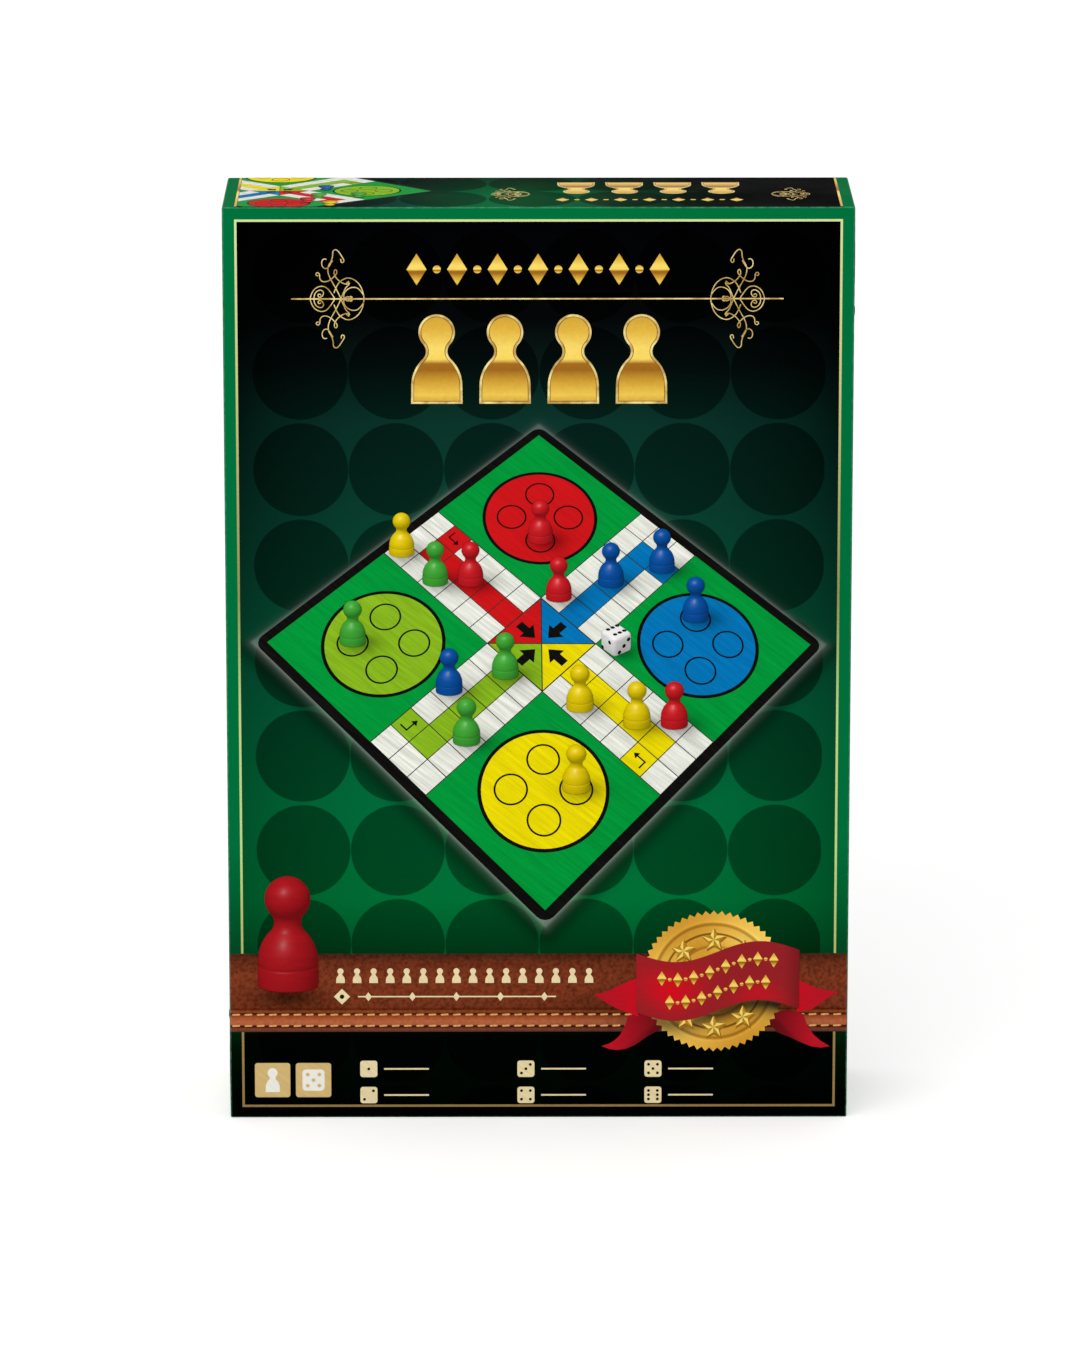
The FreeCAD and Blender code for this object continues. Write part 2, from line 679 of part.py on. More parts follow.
# Check every piece and write one file for each
doc.recompute()
for item in doc.Objects:
    if "Invalid" in item.State or "Error" in item.State:
        raise RuntimeError(f"{item.Name} failed: {item.State}")
for piece in finished:
    if piece.Shape.isNull() or not piece.Shape.isValid():
        raise RuntimeError(f"{piece.Label} has no valid shape")
    piece.Shape.exportStep(f"parts/{piece.Label}.step")
    print(piece.Label, len(piece.Shape.Solids), round(piece.Shape.Volume, 1), piece.Shape.BoundBox)
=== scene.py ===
import math

import bmesh
import bpy
from mathutils import Matrix, Vector


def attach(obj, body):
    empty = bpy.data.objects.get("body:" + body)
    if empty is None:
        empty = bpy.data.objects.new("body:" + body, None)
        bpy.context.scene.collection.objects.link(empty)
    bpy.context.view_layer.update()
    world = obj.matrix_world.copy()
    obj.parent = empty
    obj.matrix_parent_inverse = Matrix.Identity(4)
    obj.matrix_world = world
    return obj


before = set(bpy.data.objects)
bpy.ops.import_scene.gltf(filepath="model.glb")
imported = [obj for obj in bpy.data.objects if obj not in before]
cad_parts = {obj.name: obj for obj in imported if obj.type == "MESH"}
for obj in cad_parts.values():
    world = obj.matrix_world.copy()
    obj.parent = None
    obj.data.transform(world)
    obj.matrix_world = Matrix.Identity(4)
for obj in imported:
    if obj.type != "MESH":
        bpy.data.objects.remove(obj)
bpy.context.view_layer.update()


# Lid shell and base shell, with the tape on their corners.
# Recycled grey board, 1.6 mm thick, cut with open corners, folded up and held by gummed paper
# strips. Flecks and fibres of the pulp show where the board is bare, inside the lid and the base.

def colour(red, green, blue):
    """A colour read off the screen, 0 to 255, as the linear colour that a shader takes."""
    light = [v / 3294.6 if v < 11 else ((v / 255 + 0.055) / 1.055) ** 2.4 for v in (red, green, blue)]
    return (*light, 1.0)


def feed(tree, socket, value):
    """Sets a socket to a number or a colour, or links it to another node."""
    if isinstance(value, bpy.types.NodeSocket):
        tree.links.new(value, socket)
    else:
        socket.default_value = value


def new_finish(name, roughness, gloss):
    """A finish with its node tree and its surface shader."""
    finish = bpy.data.materials.new(name)
    finish.use_nodes = True
    surface = finish.node_tree.nodes["Principled BSDF"]
    surface.inputs["Roughness"].default_value = roughness
    surface.inputs["Specular IOR Level"].default_value = gloss
    return finish, finish.node_tree, surface


def blend(tree, share, under, over, mode="MIX"):
    """Lays one colour over another by a share from 0 to 1."""
    node = tree.nodes.new("ShaderNodeMix")
    node.data_type = "RGBA"
    node.blend_type = mode
    for socket, value in zip((node.inputs[0], node.inputs[6], node.inputs[7]), (share, under, over)):
        feed(tree, socket, value)
    return node.outputs[2]


def ramp(tree, value, *stops):
    """Colour stops along a value from 0 to 1."""
    node = tree.nodes.new("ShaderNodeValToRGB")
    elements = node.color_ramp.elements
    while len(elements) < len(stops):
        elements.new(1.0)
    for stop, (place, tint) in zip(elements, stops):
        stop.position = place
        stop.color = tint
    feed(tree, node.inputs[0], value)
    return node.outputs[0]


def tones(tree, value, *stops):
    """Tones along a value from 0 to 1: each stop is a place and a colour read off the screen."""
    return ramp(tree, value, *[(place, colour(*tint)) for place, *tint in stops])


def within(tree, value, low, high):
    """Share of the way of a value from low to high, kept between 0 and 1."""
    node = tree.nodes.new("ShaderNodeMapRange")
    for socket, number in zip(node.inputs[:3], (value, low, high)):
        feed(tree, socket, number)
    return node.outputs[0]


def grain(tree, size, detail=2.0, stretch=(1, 1, 1), turn=(0, 0, 0)):
    """Noise with grains of that size in millimetres, drawn out along the turned axes."""
    where = tree.nodes.new("ShaderNodeTexCoord")
    lay = tree.nodes.new("ShaderNodeMapping")
    lay.vector_type = "TEXTURE"
    lay.inputs["Rotation"].default_value = turn
    lay.inputs["Scale"].default_value = stretch
    noise = tree.nodes.new("ShaderNodeTexNoise")
    noise.inputs["Scale"].default_value = 1000 / size
    noise.inputs["Detail"].default_value = detail
    tree.links.new(where.outputs["Object"], lay.inputs["Vector"])
    tree.links.new(lay.outputs[0], noise.inputs["Vector"])
    return noise.outputs[0]


def coat(tree, surface, tint, bumps, depth):
    """Gives a surface its tint, and bumps of that depth in millimetres."""
    feed(tree, surface.inputs["Base Color"], tint)
    bump = tree.nodes.new("ShaderNodeBump")
    bump.inputs["Strength"].default_value = 0.6
    bump.inputs["Distance"].default_value = depth / 1000
    tree.links.new(bumps, bump.inputs["Height"])
    tree.links.new(bump.outputs[0], surface.inputs["Normal"])


def dress(finish, *nodes):
    """Gives built pieces their finish."""
    for node in nodes:
        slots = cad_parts[node].data.materials
        slots.clear()
        slots.append(finish)


grey_board, tree, surface = new_finish("grey_board", 0.9, 0.2)
fibres = grain(tree, 3.0, 5.0, (6, 1, 1), (0, 0.4, 0.3))
flecks = within(tree, grain(tree, 0.9), 0.66, 0.74)
pulp = tones(tree, fibres, (0.3, 128, 121, 110), (0.7, 168, 160, 147))
coat(tree, surface, blend(tree, flecks, pulp, colour(98, 92, 84)), fibres, 0.08)
dress(grey_board, "lid_board", "base_board")

corner_tape, tree, surface = new_finish("corner_tape", 0.75, 0.3)
strands = grain(tree, 1.2, 4.0, (1, 1, 8))
coat(tree, surface, tones(tree, strands, (0.3, 150, 122, 88), (0.7, 176, 147, 110)), strands, 0.04)
dress(corner_tape, "lid_corner_stays", "base_corner_stays")


# Printed paper wrap of the lid.
# One sheet of coated paper with a matt film, glued over the board and turned in at the rim. Its front
# fades from black to green under darker circles, with a green border and a strip printed as leather.

front_wide, front_tall, wall_deep = 267.0, 400.0, 73.0
half_deep, lid_rim = 38.0, 35.0
border_wide, border_tone = 5.3, (0, 112, 60)
green_border = colour(*border_tone)
circle_pitch, circle_radius, circles_end = (40.5, 41.8), 20.15, 121.4
strap_low, strap_high = 38.7, 73.7
picture_corners = ((11.8, 211.8), (136.4, 86.4), (255.2, 210.4), (133.6, 305.8))


def calc(tree, operation, *values):
    """One sum on numbers or sockets."""
    node = tree.nodes.new("ShaderNodeMath")
    node.operation = operation
    for socket, value in zip(node.inputs, values):
        feed(tree, socket, value)
    return node.outputs[0]


def dimmed(tree, shade, level):
    """A colour made darker or lighter by a level, or by another colour."""
    return blend(tree, 1.0, shade, level, "MULTIPLY")


def millimetres(tree):
    """Place on the piece, in millimetres."""
    where = tree.nodes.new("ShaderNodeTexCoord")
    grow = tree.nodes.new("ShaderNodeVectorMath")
    grow.operation = "SCALE"
    grow.inputs["Scale"].default_value = 1000.0
    split = tree.nodes.new("ShaderNodeSeparateXYZ")
    tree.links.new(where.outputs["Object"], grow.inputs[0])
    tree.links.new(grow.outputs[0], split.inputs[0])
    return split.outputs


def circle_grid(tree, across, up, first, pitch, radius):
    """1 inside the circles of a grid, 0 between them."""
    legs = []
    for value, start, step in zip((across, up), first, pitch):
        cell = calc(tree, "PINGPONG", calc(tree, "SUBTRACT", value, start), step / 2)
        legs.append(calc(tree, "POWER", cell, 2.0))
    reach = calc(tree, "SQRT", calc(tree, "ADD", *legs))
    return within(tree, reach, radius + 0.2, radius - 0.2)


def circled_ground(tree, shade, circles):
    """The printed ground with its circles a darker tone."""
    return blend(tree, circles, shade, dimmed(tree, shade, (0.40, 0.40, 0.40, 1.0)))


def glow(tree, distance, width):
    """Bell that falls from 1 at no distance to nothing at about twice the width."""
    share = calc(tree, "DIVIDE", distance, width)
    return calc(tree, "EXPONENT", calc(tree, "MULTIPLY", calc(tree, "MULTIPLY", share, share), -1.0))


def soft_spot(tree, across, up, centre, reach, depth):
    """Soft shadow: 1 - depth at its centre, 1 away from it."""
    side = calc(tree, "DIVIDE", calc(tree, "SUBTRACT", across, centre[0]), reach[0])
    rise = calc(tree, "DIVIDE", calc(tree, "SUBTRACT", up, centre[1]), reach[1])
    far = calc(tree, "ADD", calc(tree, "POWER", side, 2.0), calc(tree, "POWER", rise, 2.0))
    bell = calc(tree, "EXPONENT", calc(tree, "MULTIPLY", far, -1.0))
    return calc(tree, "SUBTRACT", 1.0, calc(tree, "MULTIPLY", bell, depth))


def edge_distances(tree, across, up, corners):
    """How far a point is outside each edge of a picture, edge by edge."""
    spans = []
    for (a, b), (c, d) in zip(corners, corners[1:] + corners[:1]):
        length = math.hypot(c - a, d - b)
        lean, rise = (d - b) / length, (a - c) / length
        sideways = calc(tree, "MULTIPLY", calc(tree, "SUBTRACT", across, a), lean)
        spans.append(calc(tree, "MULTIPLY_ADD", calc(tree, "SUBTRACT", up, b), rise, sideways))
    return spans


def handled(tree, surface, marks, low, high):
    """Roughness that follows the marks of handling."""
    feed(tree, surface.inputs["Roughness"], within(tree, marks, low, high))


lid_wrap, tree, surface = new_finish("printed_wrap_lid", 0.75, 0.0015)
x, y, z = millimetres(tree)
across = calc(tree, "ADD", x, front_wide / 2)
off_centre = calc(tree, "ABSOLUTE", x)
to_side = calc(tree, "SUBTRACT", front_wide / 2, off_centre)
to_end = calc(tree, "MINIMUM", z, calc(tree, "SUBTRACT", front_tall, z))
to_edge = calc(tree, "MINIMUM", to_side, to_end)
to_front = calc(tree, "ADD", y, half_deep)
on_front = calc(tree, "LESS_THAN", to_front, to_edge)
on_inside = calc(tree, "GREATER_THAN", calc(tree, "MINIMUM", to_front, to_edge), 1.2)

height = calc(tree, "DIVIDE", z, front_tall)
shade = tones(
    tree, height,
    (0.0, 0, 3, 1), (0.09, 0, 9, 4), (0.14, 0, 45, 21), (0.20, 0, 96, 45), (0.245, 0, 116, 56),
    (0.35, 1, 113, 62), (0.46, 4, 97, 60), (0.56, 8, 80, 56), (0.665, 10, 66, 50), (0.77, 11, 52, 43),
    (0.83, 9, 26, 24), (0.88, 4, 6, 7), (1.0, 2, 2, 4),
)
fade = calc(tree, "POWER", calc(tree, "DIVIDE", off_centre, front_wide / 2), 2.6)
deeper = calc(tree, "MULTIPLY_ADD", within(tree, z, 190.0, 310.0), 0.32, 0.56)
shade = dimmed(tree, shade, calc(tree, "SUBTRACT", 1.0, calc(tree, "MULTIPLY", fade, deeper)))
circles = circle_grid(tree, across, z, first=(32.5, 78.0), pitch=circle_pitch, radius=circle_radius)
circles = calc(tree, "MULTIPLY", circles, calc(tree, "LESS_THAN", off_centre, circles_end))
front_print = circled_ground(tree, shade, circles)

low_left, low_right, high_right, high_left = edge_distances(tree, across, z, picture_corners)
low_out = calc(tree, "MAXIMUM", low_left, low_right)
high_out = calc(tree, "MAXIMUM", high_right, high_left)
spread = 0.0
for span in (low_left, low_right, high_right, high_left):
    past_edge = calc(tree, "MAXIMUM", span, 0.0)
    spread = calc(tree, "MULTIPLY_ADD", past_edge, past_edge, spread)
out = calc(tree, "SQRT", spread)
below = within(tree, calc(tree, "SUBTRACT", low_out, high_out), -3.0, 3.0)
cast = calc(tree, "MULTIPLY", glow(tree, calc(tree, "SUBTRACT", out, 4.0), 4.5), 0.50)
front_print = blend(tree, calc(tree, "MULTIPLY", cast, below), front_print, colour(0, 6, 3))
thin_halo = calc(tree, "MULTIPLY", glow(tree, out, 1.0), calc(tree, "MULTIPLY_ADD", below, 0.04, 0.12))
wide_halo = calc(tree, "MULTIPLY", glow(tree, out, 2.8), calc(tree, "MULTIPLY_ADD", below, 0.05, 0.02))
front_print = blend(tree, calc(tree, "ADD", thin_halo, wide_halo), front_print, colour(205, 214, 208))

border = tones(
    tree, height,
    (0.0, 0, 2, 0), (0.03, 0, 4, 1), (0.08, 0, 18, 3), (0.20, 0, 77, 38), (0.25, 0, 98, 50),
    (0.31, *border_tone), (1.0, *border_tone),
)
front_print = blend(tree, calc(tree, "LESS_THAN", to_edge, border_wide), front_print, border)

strap = tones(
    tree, within(tree, z, 38.0, 74.0),
    (0.02, 86, 50, 38), (0.05, 121, 66, 48), (0.068, 110, 54, 34), (0.078, 70, 26, 8), (0.096, 70, 26, 8),
    (0.108, 171, 98, 65), (0.150, 186, 102, 62), (0.195, 168, 83, 47), (0.226, 132, 62, 33),
    (0.235, 74, 28, 8), (0.250, 74, 28, 8), (0.262, 142, 70, 34), (0.285, 132, 62, 28), (0.297, 84, 34, 14),
    (0.33, 114, 51, 28), (0.5, 122, 55, 31), (0.72, 124, 56, 31), (0.90, 102, 46, 26), (0.97, 74, 37, 22),
)
pebbles = ramp(tree, grain(tree, 1.5, 3.0), (0.3, (0.55, 0.52, 0.5, 1)), (0.62, (1.2, 1.2, 1.2, 1)))
pebbled = calc(tree, "MULTIPLY_ADD", within(tree, z, 46.5, 49.0), 0.55, 0.35)
strap = blend(tree, pebbled, strap, pebbles, "MULTIPLY")
pawn_shadow = soft_spot(tree, across, z, centre=(25.7, 54.5), reach=(15.0, 5.0), depth=0.75)
seal_shadow = soft_spot(tree, across, z, centre=(196.0, 48.0), reach=(42.0, 13.0), depth=0.6)
strap = dimmed(tree, dimmed(tree, strap, pawn_shadow), seal_shadow)
from_middle = calc(tree, "ABSOLUTE", calc(tree, "SUBTRACT", z, (strap_low + strap_high) / 2))
on_strap = calc(tree, "LESS_THAN", from_middle, (strap_high - strap_low) / 2)
front_print = blend(tree, on_strap, front_print, strap)

side_wall = calc(tree, "LESS_THAN", to_side, to_end)
along_end = calc(tree, "MULTIPLY", calc(tree, "SUBTRACT", front_wide / 2, x), 1 / front_wide)
along_side = calc(tree, "SUBTRACT", 1.0, height)
along_side = blend(tree, calc(tree, "GREATER_THAN", x, 0.0), along_side, height)
along = blend(tree, side_wall, along_end, along_side)
wall_length = calc(tree, "MULTIPLY_ADD", side_wall, front_tall - front_wide, front_wide)
run = calc(tree, "MULTIPLY", along, wall_length)
to_rim = calc(tree, "SUBTRACT", lid_rim, y)
wall_print = tones(
    tree, along,
    (0.0, 2, 2, 4), (0.17, 2, 4, 4), (0.30, 2, 42, 24), (0.42, 0, 84, 46), (0.52, 0, 112, 58),
    (0.62, 4, 96, 56), (0.72, 8, 62, 46), (0.85, 6, 26, 22),
)
foot_fade = calc(tree, "MULTIPLY_ADD", within(tree, to_rim, 0.0, 45.0), 0.8, 0.2)
wall_print = dimmed(tree, wall_print, foot_fade)
wall_circles = circle_grid(tree, run, to_rim, first=(22.0, 16.5), pitch=(38.0, 37.0), radius=18.6)
wall_print = circled_ground(tree, wall_print, wall_circles)
to_wall_end = calc(tree, "MINIMUM", run, calc(tree, "SUBTRACT", wall_length, run))
wall_print = blend(tree, calc(tree, "LESS_THAN", to_wall_end, border_wide), wall_print, green_border)

lid_print = blend(tree, on_front, wall_print, front_print)
lid_print = blend(tree, on_inside, lid_print, colour(0, 84, 46))
# Along the folds the paper turns pale green in patches: partly wear, and partly a painted highlight where
# the edges would catch the light.
wear_and_edge_highlight = within(tree, grain(tree, 2.5, 3.0), 0.25, 1.0)
nearer, farther = calc(tree, "MINIMUM", to_front, to_side), calc(tree, "MAXIMUM", to_front, to_side)
to_fold = calc(tree, "MAXIMUM", nearer, calc(tree, "MINIMUM", farther, to_end))
on_fold = within(tree, to_fold, 0.75, 0.1)
lid_print = blend(tree, calc(tree, "MULTIPLY", on_fold, wear_and_edge_highlight), lid_print, colour(120, 190, 154))
handled(tree, surface, grain(tree, 40.0, 3.0), -0.6, 1.4)
coat(tree, surface, lid_print, grain(tree, 0.7), 0.012)
dress(lid_wrap, "lid_wrap")


# Gilt line round the lid's front.
# A line 1 mm wide, printed inside the green border, pale over the green and bronze at the foot. It
# stops at the leather strip.

line_wide, line_film = 1.0, 0.05
line_left, line_right, line_foot, line_top = 5.2, 261.8, 4.9, 394.7


def panel(corner, right=(1, 0, 0), up=(0, 0, 1)):
    """Place of a print: from millimetres on its panel, lower left corner first, to the shared frame."""
    right, up = Vector(right), Vector(up)
    turn = Matrix((right, up, right.cross(up))).transposed().to_4x4()
    return Matrix.Translation([c / 1000 for c in corner]) @ turn @ Matrix.Scale(0.001, 4)


def lay_print(name, print_mesh, place, body, *finishes, slot="printed_wrap"):
    """Sets a print down on its panel, where it rides on that body."""
    print_mesh.transform(place)
    bmesh.ops.recalc_face_normals(print_mesh, faces=print_mesh.faces)
    data = bpy.data.meshes.new(name)
    print_mesh.to_mesh(data)
    print_mesh.free()
    for finish in finishes:
        data.materials.append(finish)
    piece = bpy.data.objects.new(name, data)
    bpy.context.collection.objects.link(piece)
    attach(piece, body)


def raise_faces(mesh, faces, thickness, ink=0):
    """Gives flat faces the thickness of the ink film."""
    for face in faces:
        face.material_index = ink
    raised = bmesh.ops.extrude_face_region(mesh, geom=faces)["geom"]
    tops = [v for v in raised if isinstance(v, bmesh.types.BMVert)]
    bmesh.ops.translate(mesh, vec=(0, 0, thickness), verts=tops)
    for top in tops:
        for face in top.link_faces:
            face.material_index = ink
    return [f for f in raised if isinstance(f, bmesh.types.BMFace)]


def patch(mesh, outline, low, high, ink=0):
    """A printed patch with that outline."""
    face = mesh.faces.new([mesh.verts.new((a, b, low)) for a, b in outline])
    return raise_faces(mesh, [face], high - low, ink)


def bar(mesh, low_corner, high_corner, low, high, ink=0):
    """A printed rectangle."""
    (a, b), (c, d) = low_corner, high_corner
    patch(mesh, ((a, b), (c, b), (c, d), (a, d)), low, high, ink)


gilt_line, tree, surface = new_finish("gilt_line", 0.5, 0.08)
z = millimetres(tree)[2]
gilt = tones(
    tree, calc(tree, "DIVIDE", z, front_tall),
    (0.0, 148, 118, 70), (0.09, 156, 126, 74), (0.2, 180, 188, 112), (0.3, 194, 214, 138),
    (0.45, 190, 212, 136), (0.58, 140, 146, 84), (0.68, 172, 168, 106), (0.85, 206, 206, 140),
    (1.0, 214, 226, 156),
)
coat(tree, surface, blend(tree, 0.35, gilt, grain(tree, 1.0), "SOFT_LIGHT"), grain(tree, 0.5), 0.01)

lid_front = panel((-front_wide / 2, -half_deep, 0.0))
line = bmesh.new()
for left in (line_left, line_right - line_wide):
    for foot, top in ((line_foot, strap_low - 0.1), (strap_high + 0.1, line_top)):
        bar(line, (left, foot), (left + line_wide, top), 0.0, line_film)
for foot in (line_foot, line_top - line_wide):
    bar(line, (line_left + line_wide, foot), (line_right - line_wide, foot + line_wide), 0.0, line_film)
lay_print("front_gilt_line", line, lid_front, "lid", gilt_line)


# Stitches on the printed leather strip.
# Two rows of short tan threads along the strip's lighter hem, printed with the strip.

stitch_rows, stitch_pitch, stitch_count = (46.4, 41.4), 5.3, 50
thread_tan, tree, surface = new_finish("thread_tan", 0.7, 0.05)
twist = grain(tree, 0.8, 2.0, (0.4, 1, 1), (0, 0.6, 0))
coat(tree, surface, tones(tree, twist, (0.35, 206, 140, 84), (0.65, 236, 174, 112)), twist, 0.03)
stitches = bmesh.new()
for row in stitch_rows:
    for stitch in range(stitch_count):
        left = 1.0 + stitch * stitch_pitch
        outline = ((left, row), (left + 0.4, row - 0.45), (left + 3.2, row - 0.3), (left + 3.6, row + 0.1),
                   (left + 3.2, row + 0.5), (left + 0.4, row + 0.35))
        patch(stitches, outline, 0.0, 0.08)
lay_print("front_strip_stitches", stitches, lid_front, "lid", thread_tan)


# Picture of the playing board on the lid's front.
# The board seen from above and in front, its black edge, four yards with a disc and four rings, the
# track of pale squares, and a coloured home lane to the middle from each side.

board_side, board_edge = 300.0, 7.0
cell = (board_side - 2 * board_edge) / 15
gap = 0.35
yard_place, yard_rim, yard_disc = 4.34 * cell, 45.8, 43.2
ring_place, ring_outer, ring_inner = 16.0, 11.9, 10.6
arm_inks = (4, 5, 7, 6)
picture_film = 0.03


def disc(mesh, centre, radius, low, high, ink, sides):
    """A printed disc."""
    spot = Matrix.Translation((*centre, low))
    rim = bmesh.ops.create_circle(mesh, cap_ends=True, segments=sides, radius=radius, matrix=spot)["verts"]
    return raise_faces(mesh, list({f for v in rim for f in v.link_faces}), high - low, ink)


def ring(mesh, centre, outer, inner, low, high):
    """A printed ring in the first ink."""
    spot = Matrix.Translation((*centre, low))
    edges = set()
    for radius in (outer, inner):
        rim = bmesh.ops.create_circle(mesh, segments=40, radius=radius, matrix=spot)["verts"]
        edges |= {e for v in rim for e in v.link_edges}
    raise_faces(mesh, bmesh.ops.bridge_loops(mesh, edges=list(edges))["faces"], high - low)


def quarter_turned(points, turns):
    """Points round the middle of the board, turned clockwise by quarter turns."""
    for _ in range(turns):
        points = [(b, -a) for a, b in points]
    return [(a + board_side / 2, b + board_side / 2) for a, b in points]


def arc(centre, radius, start, end, steps):
    """Points on an arc, angles in degrees."""
    turns = [math.radians(start + (end - start) * step / steps) for step in range(steps + 1)]
    return [(centre[0] + radius * math.cos(t), centre[1] + radius * math.sin(t)) for t in turns]


def rounded(low_corner, high_corner, radius):
    """Outline of a rectangle with round corners."""
    (a, b), (c, d) = low_corner, high_corner
    a, b, c, d = a + radius, b + radius, c - radius, d - radius
    outline = []
    for corner, start in (((c, b), -90), ((c, d), 0), ((a, d), 90), ((a, b), 180)):
        outline += arc(corner, radius, start, start + 90, 4)
    return outline


def board_print(film, with_edge):
    """The board's print, flat, on a square of 300 mm, in films of ink one over the other."""
    mesh = bmesh.new()
    if with_edge:
        patch(mesh, rounded((0, 0), (board_side, board_side), 8), 0, film, 0)
        far = board_side - board_edge
        bar(mesh, (board_edge, board_edge), (far, far), film, 2 * film, 1)
    home_low, home_high = board_side / 2 - 1.5 * cell, board_side / 2 + 1.5 * cell
    bar(mesh, (home_low, home_low), (home_high, home_high), 2 * film, 3 * film, 2)

    def lay(outline, layer, tone):
        patch(mesh, quarter_turned(outline, turns), layer * film, (layer + 1) * film, tone)

    for turns, arm_ink in enumerate(arm_inks):
        yard = quarter_turned([(-yard_place, yard_place)], turns)[0]
        disc(mesh, yard, yard_rim, 2 * film, 3 * film, 0, 64)
        disc(mesh, yard, yard_disc, 3 * film, 4 * film, arm_ink, 64)
        for across, up in ((-1, -1), (-1, 1), (1, 1), (1, -1)):
            spot = (yard[0] + across * ring_place, yard[1] + up * ring_place)
            ring(mesh, spot, ring_outer, ring_inner, 4 * film, 5 * film)
        start, end, half = -7.5 * cell, -1.5 * cell, 1.52 * cell
        lay([(start, -half), (end, -half), (end, half), (start, half)], 2, 2)
        for step in range(6):
            for side in (-1, 0, 1):
                left, low = (-7.5 + step) * cell + gap, (side - 0.5) * cell + gap
                right, high = left + cell - 2 * gap, low + cell - 2 * gap
                coloured = (side == 0 and step > 0) or (side == 1 and step == 1)
                lay([(left, low), (right, low), (right, high), (left, high)], 3, arm_ink if coloured else 3)
        lay([(-1.47 * cell, -1.44 * cell), (-0.03 * cell, 0), (-1.47 * cell, 1.44 * cell)], 3, arm_ink)
        tip = -0.36 * cell
        lay([(tip, 0), (tip - 9, 7.5), (tip - 9, 3.2), (tip - 17, 3.2), (tip - 17, -3.2), (tip - 9, -3.2),
             (tip - 9, -7.5)], 4, 0)
        bend = ((-5, 5), (-5, -2), (2.4, -2), (2.4, -4.2), (6, -1.45), (2.4, 1.3), (2.4, -0.9), (-3.9, -0.9),
                (-3.9, 5))
        lay([(a - 6 * cell, b + cell) for a, b in bend], 4, 0)
    return mesh


def seen_from_front(corners):
    """How a point of the flat board shows in a picture whose four corners are given."""
    (x0, y0), (x1, y1), (x2, y2), (x3, y3) = corners
    run1, rise1, run2, rise2 = x1 - x2, y1 - y2, x3 - x2, y3 - y2
    skew_a, skew_b = x0 - x1 + x2 - x3, y0 - y1 + y2 - y3
    area = run1 * rise2 - rise1 * run2
    lean_a, lean_b = (skew_a * rise2 - skew_b * run2) / area, (run1 * skew_b - rise1 * skew_a) / area

    def show(a, b):
        u, v = a / board_side, b / board_side
        depth = lean_a * u + lean_b * v + 1
        left = ((x1 - x0 + lean_a * x1) * u + (x3 - x0 + lean_b * x3) * v + x0) / depth
        up = ((y1 - y0 + lean_a * y1) * u + (y3 - y0 + lean_b * y3) * v + y0) / depth
        return left, up

    return show


def board_picture(show):
    """The board's print as it shows in a picture."""
    picture = board_print(picture_film, True)
    for vert in picture.verts:
        vert.co.x, vert.co.y = show(vert.co.x, vert.co.y)
    return picture


def on_square(column, row):
    """Middle of a square of the board, counted in squares from its corner."""
    return board_edge + (column + 0.5) * cell, board_edge + (row + 0.5) * cell


def shadow_of(spots):
    """Soft shadows of the pictured pawns, for the inks they stand on."""
    group = bpy.data.node_groups.new("pawn_shadows", "ShaderNodeTree")
    group.interface.new_socket("shade", in_out="OUTPUT", socket_type="NodeSocketFloat")
    x, y, z = millimetres(group)
    across = calc(group, "ADD", x, front_wide / 2)
    shade = 1.0
    for a, b, wide in spots:
        centre, reach = (a + 0.35 * wide, b - 0.02 * wide), (0.75 * wide, 0.42 * wide)
        shade = calc(group, "MULTIPLY", soft_spot(group, across, z, centre, reach, 0.6), shade)
    feed(group, group.nodes.new("NodeGroupOutput").inputs[0], shade)
    return group


def new_ink(name, tone, streak, shadows=None):
    """Printing ink with the streaks of a wood grain, and the shadows that fall on it."""
    finish, tree, surface = new_finish(name, 0.7, 0.01)
    streaks = grain(tree, 1.2, 5.0, (16, 1, 1), (0, math.radians(38), 0))
    tint = colour(*tone)
    pale = tuple(min(1.0, c * (1 + streak)) for c in tint[:3]) + (1.0,)
    deep = tuple(c * (1 - 1.3 * streak) for c in tint[:3]) + (1.0,)
    shown = ramp(tree, streaks, (0.32, deep), (0.55, tint), (0.7, pale))
    if shadows:
        cast = tree.nodes.new("ShaderNodeGroup")
        cast.node_tree = shadows
        shown = dimmed(tree, shown, cast.outputs[0])
    handled(tree, surface, grain(tree, 20.0, 3.0), -0.8, 1.5)
    coat(tree, surface, shown, streaks, 0.012)
    return finish


def board_inks(prefix, shadows=None):
    """The eight inks of a board: black, green, line, pale, red, blue, lime and yellow."""
    inks = (
        ("black", (16, 15, 14), 0.3), ("green", (2, 152, 58), 0.10), ("line", (44, 46, 40), 0.2),
        ("pale", (236, 237, 226), 0.16), ("red", (206, 22, 26), 0.07), ("blue", (4, 118, 184), 0.1),
        ("lime", (138, 186, 32), 0.12), ("yellow", (240, 222, 6), 0.1),
    )
    return [new_ink(prefix + name, tone, streak, shadows) for name, tone, streak in inks]


shown_at = seen_from_front(picture_corners)
far_pawn_wide, far_pawn_up, pawn_growth = 10.4, 275.0, 0.012
pictured = {
    "red": ((3.5, 10.5), (3, 7), (6, 9), (13, 8)), "blue": ((10.5, 12.18), (7, 11), (8, 13), (6, 3)),
    "green": ((1.82, 1.82), (2, 6), (7, 5), (8, 2)), "yellow": ((12.18, 3.5), (0, 6), (12, 7), (10, 6)),
}
stands = []
for paint, squares in pictured.items():
    for a, b in [shown_at(*on_square(*square)) for square in squares]:
        stands.append((paint, a, b, far_pawn_wide + (far_pawn_up - b) * pawn_growth))
stands.sort(key=lambda stand: -stand[2])
die_stand = shown_at(*on_square(9.3, 8.8))
pawn_shadows = shadow_of([stand[1:] for stand in stands] + [(*die_stand, 9.0)])
front_inks = board_inks("front_", pawn_shadows)
lay_print("front_board_picture", board_picture(shown_at), lid_front, "lid", *front_inks)


